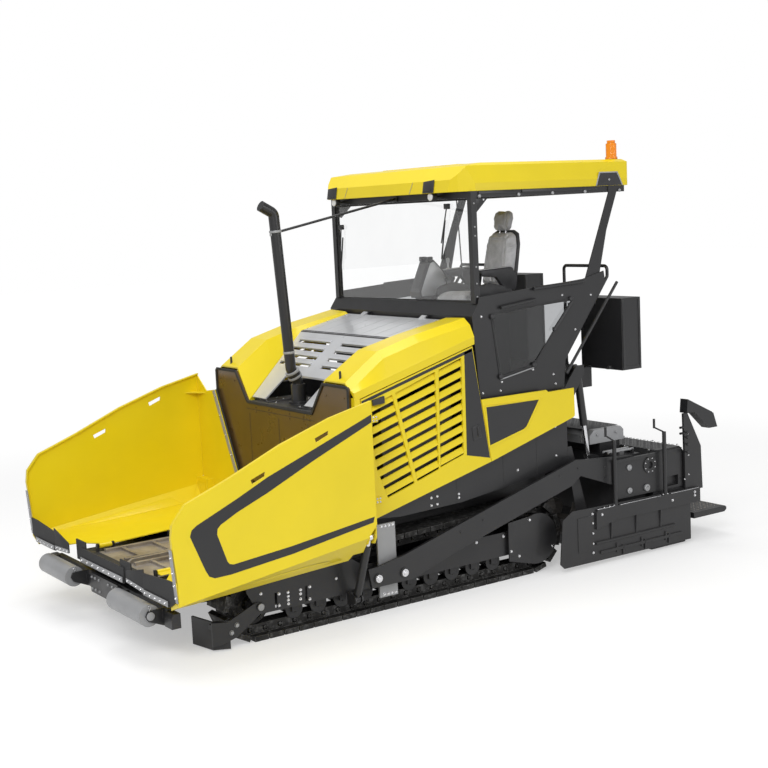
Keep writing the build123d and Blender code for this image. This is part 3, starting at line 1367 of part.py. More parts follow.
with BuildPart() as rear_brackets:
    # gearbox between the augers
    block((-1400, FRAME_REAR), (-GEARBOX_HALF, GEARBOX_HALF), (520, 640))
    block((AUGER_X - 80, AUGER_X + 80), (-GEARBOX_HALF, GEARBOX_HALF), (320, 640))
    for side in (-1, 1):
        inner, outer = sorted((side * GEARBOX_HALF, side * (AUGER_IN + 34)))
        cross_shaft(AUGER_X, AUGER_Z, inner, outer, AUGER_PIN)
        # outer bearing arm
        inner, outer = sorted(side * y for y in BEARING_Y)
        side_prism(
            [
                (FRAME_REAR, 968),
                (FRAME_REAR, 1160),
                (-1300, 1160),
                (AUGER_X - 60, AUGER_Z + 50),
                (AUGER_X - 60, AUGER_Z - 60),
                (AUGER_X + 60, AUGER_Z - 60),
                (-1340, 500),
            ],
            inner,
            outer,
        )
        inner, outer = sorted((side * BEARING_Y[0], side * (AUGER_OUT - 34)))
        cross_shaft(AUGER_X, AUGER_Z, inner, outer, AUGER_PIN)
        # bracket plates of the lift cylinder
        for y in (LIFT_Y - LIFT_PLATE[1], LIFT_Y + LIFT_PLATE[0]):
            inner, outer = sorted((side * y, side * (y + PLATE)))
            side_prism(
                [
                    (FRAME_REAR, 1480),
                    (FRAME_REAR, 1690),
                    (LIFT_TOP[0] + 50, LIFT_TOP[1] + 45),
                    (LIFT_TOP[0] - 45, LIFT_TOP[1] + 45),
                    (LIFT_TOP[0] - 45, LIFT_TOP[1] - 40),
                    (-1400, 1640),
                ],
                inner,
                outer,
            )
        inner, outer = sorted((side * (LIFT_Y - LIFT_PLATE[1]), side * (LIFT_Y + LIFT_PLATE[1])))
        cross_shaft(*LIFT_TOP, inner, outer, LIFT_PIN)
store(rear_brackets, "rear_brackets")
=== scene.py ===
"""Tracked asphalt paver: finishes, trim, soft seats and studio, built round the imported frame."""

import json
import logging
import math
from dataclasses import dataclass, field, replace
from enum import Enum
from typing import Callable, Iterable, Sequence

import bmesh
import bpy
from mathutils import Matrix, Vector


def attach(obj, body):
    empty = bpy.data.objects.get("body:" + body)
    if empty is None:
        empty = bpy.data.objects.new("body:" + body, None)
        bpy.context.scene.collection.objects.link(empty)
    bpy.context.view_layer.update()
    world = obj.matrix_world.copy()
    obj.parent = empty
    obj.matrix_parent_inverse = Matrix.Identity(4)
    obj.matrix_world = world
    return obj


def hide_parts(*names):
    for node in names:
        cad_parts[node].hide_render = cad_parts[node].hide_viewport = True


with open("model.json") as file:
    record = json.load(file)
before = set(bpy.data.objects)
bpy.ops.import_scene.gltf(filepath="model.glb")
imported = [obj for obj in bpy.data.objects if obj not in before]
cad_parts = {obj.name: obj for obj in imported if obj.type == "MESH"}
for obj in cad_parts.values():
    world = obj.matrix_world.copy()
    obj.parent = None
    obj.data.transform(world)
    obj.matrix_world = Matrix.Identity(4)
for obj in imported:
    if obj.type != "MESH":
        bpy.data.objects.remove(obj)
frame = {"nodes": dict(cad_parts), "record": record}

LOG = logging.getLogger("paver")
Point = tuple[float, float, float]
Colour = tuple[float, float, float]
Flat = tuple[float, float]
Piece = bpy.types.Object
Socket = bpy.types.NodeSocket
CHASSIS = "chassis"
WHITE = (1.0, 1.0, 1.0, 1.0)
SKIN = 0.0015  # how far a dark field or a thin plate stands out from its face
SMOOTH_BELOW = math.radians(32)
PIPE_SMOOTH_BELOW = math.radians(40)
SHARP_ABOVE = math.radians(35)
NEAR_BLACK: Colour = (0.0145, 0.0145, 0.016)
ROAD_DUST: Colour = (0.30, 0.27, 0.23)
RUST: Colour = (0.16, 0.075, 0.035)


class Axis(Enum):
    """The direction in which a profile is drawn out, with the two that it is drawn on."""

    X = (0, 1, 2)
    Y = (1, 0, 2)
    Z = (2, 0, 1)

    def place(self, along: float, first: float, second: float) -> Vector:
        """A point from its distance along the axis and its two places on the profile.

        Args:
            along: The distance along the axis.
            first: The place along the first of the other two directions.
            second: The place along the last one.

        Returns:
            The point.
        """
        point = [0.0, 0.0, 0.0]
        for index, value in zip(self.value, (along, first, second)):
            point[index] = value
        return Vector(point)

    @property
    def vector(self) -> Vector:
        """The unit vector of the axis."""
        return self.place(1, 0, 0)


class Slot(Enum):
    """The record's material slots."""

    YELLOW = "yellow_paint"
    DARK = "dark_paint"
    SILVER = "silver_paint"
    # Dark bulkhead paint whose brown tone holds a painted reflection of the yellow hopper.
    LIGHT = "light_grey_paint"
    BRONZE = "bronze_paint"
    ENGINE = "engine_paint"
    STEEL = "worn_steel"
    TRACK = "track_steel"
    RUBBER = "rubber_flap"
    CHROME = "chrome_rod"
    LEATHER = "seat_leather"
    GLASS = "window_glass"
    AMBER = "amber_lens"
    LAMP = "lamp_housing"
    LENS = "lamp_lens"

    @property
    def record(self) -> str:
        """The record's slot, which for lamp lenses is the windows' glass."""
        return Slot.GLASS.value if self is Slot.LENS else self.value


# ---------------------------------------------------------------- finishes


def add_node(tree: bpy.types.NodeTree, kind: str, **settings: object) -> bpy.types.Node:
    """Adds a shader node.

    Args:
        tree: The node tree that gets it.
        kind: Its type, without the ShaderNode that every type's name starts with.
        settings: Properties that are set on it.

    Returns:
        The new node.
    """
    node = tree.nodes.new("ShaderNode" + kind)
    for name, value in settings.items():
        setattr(node, name, value)
    return node


class Nodes:
    """The node tree of one material, with a short call for each kind of node."""

    def __init__(self, name: str) -> None:
        """Starts a material with one Principled shader.

        Args:
            name: The material's name.
        """
        self.material = bpy.data.materials.new(name)
        self.material.use_nodes = True
        self.tree = self.material.node_tree
        self.tree.nodes.clear()
        output = add_node(self.tree, "OutputMaterial")
        self.shader = add_node(self.tree, "BsdfPrincipled")
        self.tree.links.new(self.shader.outputs["BSDF"], output.inputs["Surface"])
        self.coords = add_node(self.tree, "TexCoord").outputs["Object"]

    def constants(self, **values: object) -> None:
        """Sets plain values on the shader's sockets, whose names have _ for a space."""
        for name, value in values.items():
            self.shader.inputs[name.replace("_", " ")].default_value = value

    def feed(self, name: str, socket: Socket) -> None:
        """Links a socket to one of the shader's inputs."""
        self.tree.links.new(socket, self.shader.inputs[name])

    def _join(self, target: Socket, value: Socket | float | Sequence[float]) -> None:
        """Links or sets one input.

        Args:
            target: The input.
            value: A socket that it is linked to, or a plain value.
        """
        if isinstance(value, bpy.types.NodeSocket):
            self.tree.links.new(value, target)
        else:
            target.default_value = value

    def stretched(self, scale: Point) -> Socket:
        """Object coordinates stretched along the axes.

        Args:
            scale: The factor along X, Y and Z.

        Returns:
            The stretched coordinates.
        """
        node = add_node(self.tree, "Mapping")
        node.inputs["Scale"].default_value = scale
        self.tree.links.new(self.coords, node.inputs["Vector"])
        return node.outputs["Vector"]

    def noise(
        self, scale: float, detail: float = 3.0, rough: float = 0.5, stretch: Point | None = None
    ) -> Socket:
        """A noise pattern.

        Args:
            scale: Cells per metre.
            detail: Octaves of finer noise.
            rough: Strength of the finer noise.
            stretch: Scale along X, Y and Z, or None for an even pattern.

        Returns:
            The pattern's value.
        """
        node = add_node(self.tree, "TexNoise")
        node.inputs["Scale"].default_value = scale
        node.inputs["Detail"].default_value = detail
        node.inputs["Roughness"].default_value = rough
        self.tree.links.new(self.stretched(stretch) if stretch else self.coords, node.inputs["Vector"])
        return node.outputs["Fac"]

    def cells(self, scale: float) -> Socket:
        """A pattern of small cells.

        Args:
            scale: Cells per metre.

        Returns:
            The distance from the nearest cell's middle.
        """
        node = add_node(self.tree, "TexVoronoi")
        node.inputs["Scale"].default_value = scale
        self.tree.links.new(self.coords, node.inputs["Vector"])
        return node.outputs["Distance"]

    def coordinate(self, letter: str) -> Socket:
        """One of the point's coordinates on the machine.

        Args:
            letter: X along it, Y to its left or Z above the ground.

        Returns:
            The coordinate in metres.
        """
        node = add_node(self.tree, "SeparateXYZ")
        self.tree.links.new(self.coords, node.inputs["Vector"])
        return node.outputs[letter]

    def ramp(self, value: Socket, low: float, high: float, start: float = 0.0, end: float = 1.0) -> Socket:
        """Maps a value from one range to another, held at its ends.

        Args:
            value: What is mapped.
            low: Where the range starts.
            high: Where the range ends.
            start: The result at low.
            end: The result at high.

        Returns:
            The mapped value.
        """
        node = add_node(self.tree, "MapRange")
        self.tree.links.new(value, node.inputs["Value"])
        for name, number in zip(("From Min", "From Max", "To Min", "To Max"), (low, high, start, end)):
            node.inputs[name].default_value = number
        return node.outputs["Result"]

    def sums(self, kind: str, first: Socket | float, second: Socket | float) -> Socket:
        """Two values combined.

        Args:
            kind: The Math node's operation.
            first: The first value.
            second: The second value.

        Returns:
            The result.
        """
        node = add_node(self.tree, "Math", operation=kind)
        self._join(node.inputs[0], first)
        self._join(node.inputs[1], second)
        return node.outputs["Value"]

    def blend(self, share: Socket | float, first: Socket | Colour, second: Socket | Colour) -> Socket:
        """Two colours mixed by a share.

        Args:
            share: 0 for the first colour, 1 for the second.
            first: The first colour.
            second: The second colour.

        Returns:
            The mixed colour.
        """
        node = add_node(self.tree, "Mix", data_type="RGBA")
        self._join(node.inputs["Factor"], share)
        inputs = [i for i in node.inputs if i.type == "RGBA"]
        for socket, colour in zip(inputs, (first, second)):
            self._join(socket, colour if isinstance(colour, bpy.types.NodeSocket) else (*colour, 1.0))
        return next(o for o in node.outputs if o.type == "RGBA")

    def edges(self, radius: float) -> tuple[Socket, Socket]:
        """Softened edges.

        Args:
            radius: How far the edge is rounded, in metres.

        Returns:
            A mask that is 1 on an edge and 0 on a flat, and the rounded normal.
        """
        bevel = add_node(self.tree, "Bevel", samples=4)
        bevel.inputs["Radius"].default_value = radius
        geometry = add_node(self.tree, "NewGeometry")
        dot = add_node(self.tree, "VectorMath", operation="DOT_PRODUCT")
        self.tree.links.new(bevel.outputs["Normal"], dot.inputs[0])
        self.tree.links.new(geometry.outputs["True Normal"], dot.inputs[1])
        return self.ramp(dot.outputs["Value"], 0.995, 0.8), bevel.outputs["Normal"]

    def bump(self, height: Socket, distance: float, strength: float, normal: Socket | None = None) -> None:
        """Feeds the shader's normal from a height pattern.

        Args:
            height: The pattern.
            distance: Its depth in metres.
            strength: Its share, 0 to 1.
            normal: A normal that it is laid over, such as that of softened edges.
        """
        node = add_node(self.tree, "Bump")
        node.inputs["Strength"].default_value = strength
        node.inputs["Distance"].default_value = distance
        self.tree.links.new(height, node.inputs["Height"])
        if normal is not None:
            self.tree.links.new(normal, node.inputs["Normal"])
        self.feed("Normal", node.outputs["Normal"])


def mixed(first: Colour, second: Colour, share: float) -> Colour:
    """A colour between two others."""
    return tuple(a + (b - a) * share for a, b in zip(first, second))


@dataclass(frozen=True)
class Finish:
    """What the finishes share: each lays its own pattern on a new material."""

    colour: Colour

    def make(self, name: str) -> bpy.types.Material:
        """Makes the material.

        Args:
            name: Its name.

        Returns:
            The new material.
        """
        n = Nodes(name)
        self.lay(n)
        return n.material

    def lay(self, n: Nodes) -> None:
        """Feeds the shader. Each finish has its own way."""
        raise NotImplementedError

    def toned(self, factor: float) -> Colour:
        """The finish's colour, darker or lighter by a factor."""
        return tuple(min(1.0, c * factor) for c in self.colour)


@dataclass(frozen=True)
class Paint(Finish):
    """Sprayed paint over steel: faint mottling, orange peel, rubbed edges lightened partly as wear and partly
    as a painted highlight, and a trace of road dust.
    """

    gloss: float = 0.34
    coat: float = 0.25
    metallic: float = 0.0
    mottle: float = 0.05
    # edge and edge_share: the colour laid on the edges and its share, partly wear and partly a painted edge
    # highlight
    edge: Colour = (0.62, 0.6, 0.56)
    edge_share: float = 0.12
    dust: float = 0.12
    dust_top: float = 1.1
    peel: float = 0.00018
    edge_radius: float = 0.004
    dark_below: float | None = None

    def lay(self, n: Nodes) -> None:
        """Lays colour, rubbed edges that are partly wear and partly a painted highlight, dust and orange
        peel.

        Args:
            n: The material's nodes.
        """
        cloud = n.noise(1.7, 4.0, 0.55)
        darker, lighter = self.toned(1 - 2.2 * self.mottle), self.toned(1 + self.mottle)
        colour = n.blend(n.ramp(cloud, 0.32, 0.68), darker, lighter)
        rim, normal = n.edges(self.edge_radius)
        # Edges are lightened towards the edge colour: partly rubbed wear, partly a painted highlight.
        rubbed_and_highlit = n.sums("MULTIPLY", rim, n.ramp(n.noise(23.0, 4.0, 0.7), 0.42, 0.62, 0.25, 1.0))
        colour = n.blend(n.sums("MULTIPLY", rubbed_and_highlit, self.edge_share), colour, self.edge)
        low = n.ramp(n.coordinate("Z"), self.dust_top, 0.0)
        film = n.sums("MULTIPLY", low, n.ramp(n.noise(5.5, 6.0, 0.65), 0.35, 0.75))
        colour = n.blend(n.sums("MULTIPLY", film, self.dust), colour, ROAD_DUST)
        if self.dark_below is not None:
            lower = n.ramp(n.coordinate("Z"), self.dark_below, self.dark_below - 0.001)
            colour = n.blend(lower, colour, NEAR_BLACK)
        n.feed("Base Color", colour)
        smear = n.ramp(n.noise(3.1, 5.0, 0.6), 0.3, 0.7, self.gloss - 0.05, self.gloss + 0.07)
        n.feed("Roughness", n.sums("ADD", smear, n.sums("MULTIPLY", film, 0.22)))
        n.constants(
            Metallic=self.metallic, Coat_Weight=self.coat, Coat_Roughness=0.12, Specular_IOR_Level=0.45
        )
        n.bump(n.noise(420.0, 2.0, 0.5), self.peel, 0.35, normal)


@dataclass(frozen=True)
class BareSteel(Finish):
    """Working steel: long scratches, darker patches, a little rust in the hollows, and edges lightened partly
    by wear and partly as a painted highlight.
    """

    dark: Colour
    gloss: float = 0.38
    metallic: float = 0.85
    grain: Point = (3.0, 60.0, 60.0)
    rust: float = 0.15
    depth: float = 0.0006

    def lay(self, n: Nodes) -> None:
        """Lays patches, scratches, rust, and edges lightened partly as wear and partly as a painted
        highlight.

        Args:
            n: The material's nodes.
        """
        patch = n.noise(4.0, 6.0, 0.65)
        scratch = n.noise(2.2, 5.0, 0.7, self.grain)
        rim, normal = n.edges(0.004)
        colour = n.blend(n.ramp(patch, 0.35, 0.65), self.dark, self.colour)
        colour = n.blend(
            n.ramp(scratch, 0.5, 0.75, 0.0, 0.45), colour, mixed(self.colour, (0.8, 0.8, 0.8), 0.35)
        )
        spots = n.ramp(n.noise(17.0, 6.0, 0.75), 0.6, 0.8, 0.0, self.rust)
        colour = n.blend(spots, colour, RUST)
        # Edges blended towards light grey: partly worn steel, partly a painted highlight.
        colour = n.blend(n.sums("MULTIPLY", rim, 0.35), colour, (0.55, 0.54, 0.52))
        n.feed("Base Color", colour)
        n.feed("Roughness", n.ramp(scratch, 0.3, 0.75, self.gloss + 0.2, self.gloss))
        n.feed("Metallic", n.ramp(spots, 0.0, 0.3, self.metallic, 0.1))
        n.bump(n.sums("ADD", n.noise(60.0, 6.0, 0.7), scratch), self.depth, 0.45, normal)


@dataclass(frozen=True)
class Rubber(Finish):
    """Dull rubber or moulded plastic with a fine pebble grain."""

    gloss: float = 0.62
    grain: float = 500.0
    depth: float = 0.0004

    def lay(self, n: Nodes) -> None:
        """Lays a cloudy tone, a pebble grain, and edges lightened partly as scuffing and partly as a painted
        highlight.

        Args:
            n: The material's nodes.
        """
        cloud = n.noise(9.0, 5.0, 0.6)
        rim, normal = n.edges(0.003)
        colour = n.blend(n.ramp(cloud, 0.3, 0.7), self.toned(0.75), self.toned(1.25))
        # Edges blended towards grey: partly scuffing, partly a painted highlight.
        colour = n.blend(n.sums("MULTIPLY", rim, 0.25), colour, (0.25, 0.245, 0.24))
        n.feed("Base Color", colour)
        n.feed("Roughness", n.ramp(cloud, 0.3, 0.7, self.gloss, self.gloss + 0.15))
        n.constants(Specular_IOR_Level=0.35)
        n.bump(n.cells(self.grain), self.depth, 0.4, normal)


@dataclass(frozen=True)
class Leather(Finish):
    """Seat leather: pebbled grain, creases and a soft sheen."""

    def lay(self, n: Nodes) -> None:
        """Lays tones, creases and grain.

        Args:
            n: The material's nodes.
        """
        tone = n.noise(14.0, 5.0, 0.6)
        colour = n.blend(n.ramp(tone, 0.3, 0.7), self.toned(0.8), self.toned(1.18))
        grain = n.cells(330.0)
        crease = n.ramp(n.noise(28.0, 6.0, 0.7), 0.45, 0.5)
        colour = n.blend(n.ramp(grain, 0.0, 0.6, 0.25, 0.0), colour, self.toned(0.55))
        n.feed("Base Color", colour)
        n.feed("Roughness", n.ramp(tone, 0.3, 0.7, 0.42, 0.6))
        n.constants(Sheen_Weight=0.15, Sheen_Roughness=0.4, Specular_IOR_Level=0.4)
        n.bump(n.sums("ADD", grain, n.sums("MULTIPLY", crease, 0.3)), 0.0012, 0.5)


@dataclass(frozen=True)
class Glass(Finish):
    """Clear pane, lens or tinted moulding with a few smears."""

    gloss: float = 0.02
    index: float = 1.45
    ribs: float = 0.0
    glow: float = 0.0
    side_tint: Colour | None = None

    def lay(self, n: Nodes) -> None:
        """Lays a clear or tinted body with smears.

        Args:
            n: The material's nodes.
        """
        smear = n.noise(2.6, 6.0, 0.6)
        tint = n.blend(n.ramp(smear, 0.3, 0.7), self.colour, self.toned(0.97))
        if self.side_tint:
            tint = n.blend(
                n.ramp(n.sums("ABSOLUTE", n.coordinate("Y"), 0.0), 1.17, 1.18), tint, self.side_tint
            )
        n.feed("Base Color", tint)
        n.feed("Roughness", n.ramp(smear, 0.5, 0.8, self.gloss, self.gloss + 0.02))
        n.constants(Transmission_Weight=1.0, IOR=self.index)
        if self.glow:
            n.constants(Emission_Color=(*self.colour, 1.0), Emission_Strength=self.glow)
        if self.ribs:
            wave = add_node(n.tree, "TexWave", bands_direction="Z")
            wave.inputs["Scale"].default_value = self.ribs
            n.tree.links.new(n.coords, wave.inputs["Vector"])
            n.bump(wave.outputs["Fac"], 0.002, 0.6)


FINISHES: dict[Slot, Finish] = {
    Slot.YELLOW: Paint((0.84, 0.655, 0.008), 0.34, 0.15, mottle=0.018, edge=(1.0, 0.86, 0.25), dust=0.03),
    Slot.DARK: Paint(NEAR_BLACK, 0.40, 0.10, edge=(0.22, 0.22, 0.22), edge_share=0.35, dust=0.035),
    Slot.SILVER: Paint((0.60, 0.61, 0.63), 0.32, 0.2, metallic=0.35, edge=(0.9, 0.9, 0.9)),
    Slot.LIGHT: Paint((0.36, 0.365, 0.375), 0.42, 0.1, metallic=0.2, edge_share=0.25),
    # Bulkhead: dark paint with the yellow hopper's reflection painted in as a bronze tone.
    Slot.BRONZE: Paint((0.115, 0.068, 0.024), 0.30, 0.15, metallic=0.25, edge=(0.35, 0.25, 0.12)),
    Slot.ENGINE: Paint((0.05, 0.05, 0.055), 0.5, 0.05),
    Slot.STEEL: BareSteel((0.46, 0.42, 0.37), (0.24, 0.21, 0.18), metallic=0.7),
    Slot.TRACK: BareSteel(
        (0.036, 0.035, 0.034), (0.014, 0.0135, 0.013), 0.45, 0.55, rust=0.12, grain=(9.0, 9.0, 9.0)
    ),
    Slot.RUBBER: Rubber((0.030, 0.030, 0.031)),
    Slot.CHROME: BareSteel((0.72, 0.72, 0.74), (0.6, 0.6, 0.62), 0.12, 1.0, rust=0.0, depth=0.00005),
    Slot.LEATHER: Leather((0.42, 0.42, 0.43)),
    Slot.GLASS: Glass((0.985, 0.99, 0.99), 0.0, side_tint=(0.42, 0.43, 0.44)),
    Slot.AMBER: Glass((0.85, 0.26, 0.01), 0.12, ribs=28.0, glow=0.04),
    Slot.LENS: Paint((0.82, 0.83, 0.85), 0.12, 0.9, mottle=0.02, dust=0.0, edge_share=0.0),
    Slot.LAMP: Rubber((0.035, 0.035, 0.037), 0.4, 260.0, 0.0002),
}


COVER_FINISH = replace(FINISHES[Slot.LIGHT], dark_below=1.1)
AUGER_FINISH = BareSteel((0.12, 0.11, 0.10), (0.05, 0.046, 0.042), 0.42, 0.7, rust=0.1)
SPECIAL: dict[str, tuple[str, Finish]] = {
    "screed_cover": ("cover_paint", COVER_FINISH),
    "auger_left": ("auger_steel", AUGER_FINISH),
    "auger_right": ("auger_steel", AUGER_FINISH),
}


@dataclass
class PaintShop:
    """Makes each finish once and puts it on nodes and pieces."""

    made: dict[Slot, bpy.types.Material] = field(default_factory=dict)
    special: dict[str, bpy.types.Material] = field(default_factory=dict)

    def material(self, slot: Slot) -> bpy.types.Material:
        """The material of a slot, made on first use.

        Args:
            slot: The slot.

        Returns:
            Its material.
        """
        if slot not in self.made:
            self.made[slot] = FINISHES[slot].make(slot.value)
        return self.made[slot]

    def dress_frame(self) -> None:
        """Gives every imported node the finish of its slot."""
        for part in frame["record"]["subparts"]:
            node = frame["nodes"][part["node"]]
            material = self.material(Slot(part["material_slot"]))
            if part["node"] in SPECIAL:
                name, finish = SPECIAL[part["node"]]
                if name not in self.special:
                    self.special[name] = finish.make(name)
                material = self.special[name]
            if not node.material_slots:
                node.data.materials.append(material)
            for place in node.material_slots:
                place.material = material

    def dress(self, piece: Piece, slot: Slot, body: str = CHASSIS) -> Piece:
        """Finishes a new piece and hangs it on its body.

        Args:
            piece: The finished mesh.
            slot: The material slot that it takes.
            body: The CAD body that it moves with.

        Returns:
            The piece.
        """
        piece.data.materials.clear()
        piece.data.materials.append(self.material(slot))
        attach(piece, body)
        LOG.info("%s on %s in %s", piece.name, body, slot.value)
        return piece


SHOP = PaintShop()


# ---------------------------------------------------------------- studio


@dataclass
class Studio:
    """Pale floor, soft lamps, white backdrop and the camera."""

    camera_place: Point = (7.28, 10.74, 3.49)
    yaw: float = -124.01
    pitch: float = -7.34
    roll: float = -2.76
    lens: float = 62.85
    floor_half: float = 60.0
    fade: Flat = (5.0, 11.0)
    ambient: float = 0.5

    def camera(self) -> None:
        """Adds the camera and makes it the scene's."""
        yaw, pitch, roll = (math.radians(a) for a in (self.yaw, self.pitch, self.roll))
        ahead = Vector((math.cos(pitch) * math.cos(yaw), math.cos(pitch) * math.sin(yaw), math.sin(pitch)))
        right = ahead.cross(Vector((0, 0, 1))).normalized()
        up = right.cross(ahead)
        side = math.cos(roll) * right + math.sin(roll) * up
        top = -math.sin(roll) * right + math.cos(roll) * up
        turn = Matrix((side, top, -ahead)).transposed()
        data = bpy.data.cameras.new("camera")
        data.lens, data.sensor_width, data.clip_end = self.lens, 36.0, 300.0
        holder = bpy.data.objects.new("camera", data)
        holder.matrix_world = Matrix.Translation(self.camera_place) @ turn.to_4x4()
        bpy.context.scene.collection.objects.link(holder)
        bpy.context.scene.camera = holder

    def floor(self) -> None:
        """Adds the floor, which stays white to the eye and keeps the shadow."""
        bpy.ops.object.select_all(action="DESELECT")
        bpy.ops.mesh.primitive_plane_add(size=2 * self.floor_half, location=(0, 0, -0.002))
        floor = bpy.context.object
        floor.name = "floor"
        material = bpy.data.materials.new("floor_white")
        material.use_nodes = True
        tree = material.node_tree
        shader = tree.nodes["Principled BSDF"]
        shader.inputs["Roughness"].default_value = 0.9
        shader.inputs["Specular IOR Level"].default_value = 0.1
        shader.inputs["Emission Color"].default_value = WHITE
        path = add_node(tree, "LightPath").outputs
        seen, both = (add_node(tree, "Math", operation="MAXIMUM") for _ in range(2))
        share = add_node(tree, "Math", operation="MULTIPLY")
        reach = add_node(tree, "VectorMath", operation="LENGTH")
        glow, shade = (add_node(tree, "MapRange", interpolation_type="SMOOTHSTEP") for _ in range(2))
        for node, near, far in ((glow, 0.42, 1.0), (shade, 0.62, 0.0)):
            node.inputs["From Min"].default_value, node.inputs["From Max"].default_value = self.fade
            node.inputs["To Min"].default_value, node.inputs["To Max"].default_value = near, far
            tree.links.new(reach.outputs["Value"], node.inputs["Value"])
        for source, target in (
            (add_node(tree, "TexCoord").outputs["Object"], reach.inputs[0]),
            (shade.outputs["Result"], shader.inputs["Base Color"]),
            (path["Is Camera Ray"], seen.inputs[0]),
            (path["Is Glossy Ray"], seen.inputs[1]),
            (seen.outputs["Value"], both.inputs[0]),
            (path["Is Transmission Ray"], both.inputs[1]),
            (both.outputs["Value"], share.inputs[0]),
            (glow.outputs["Result"], share.inputs[1]),
            (share.outputs["Value"], shader.inputs["Emission Strength"]),
        ):
            tree.links.new(source, target)
        floor.data.materials.append(material)

    def backdrop(self) -> None:
        """Sets a world that is white to the eye and a plain level of light to the object."""
        world = bpy.data.worlds.new("studio")
        bpy.context.scene.world = world
        world.use_nodes = True
        tree = world.node_tree
        background = tree.nodes["Background"]
        background.inputs["Color"].default_value = WHITE
        path = add_node(tree, "LightPath").outputs
        seen = add_node(tree, "Math", operation="MAXIMUM")
        level = add_node(tree, "MapRange")
        level.inputs["To Min"].default_value = self.ambient
        level.inputs["To Max"].default_value = 1.0
        tree.links.new(path["Is Camera Ray"], seen.inputs[0])
        tree.links.new(path["Is Transmission Ray"], seen.inputs[1])
        tree.links.new(seen.outputs["Value"], level.inputs["Value"])
        tree.links.new(level.outputs["Result"], background.inputs["Strength"])

    def lamp(self, name: str, place: Point, aim: Point, size: Flat, power: float) -> None:
        """Adds one soft box.

        Args:
            name: The lamp's name.
            place: Where it stands.
            aim: The point it faces.
            size: Width and height of its face.
            power: Its power in watts.
        """
        data = bpy.data.lights.new(name, "AREA")
        data.shape = "RECTANGLE"
        data.size, data.size_y = size
        data.energy = power
        lamp = bpy.data.objects.new(name, data)
        lamp.location = place
        lamp.rotation_euler = (Vector(aim) - Vector(place)).to_track_quat("-Z", "Y").to_euler()
        bpy.context.scene.collection.objects.link(lamp)

    def build(self) -> None:
        """Sets up the whole studio."""
        scene = bpy.context.scene
        scene.view_settings.view_transform = "Standard"
        self.camera()
        self.floor()
        self.backdrop()
        self.lamp("key", (9.0, 9.5, 9.0), (0, 0, 1.2), (7.0, 5.0), 950.0)
        self.lamp("side", (-5.0, 13.0, 5.0), (-0.5, 0, 1.2), (6.0, 4.0), 330.0)
        self.lamp("top", (0.5, -1.0, 11.0), (0, 0, 0), (9.0, 6.0), 520.0)
        LOG.info("studio ready")


# ---------------------------------------------------------------- modelling by hand


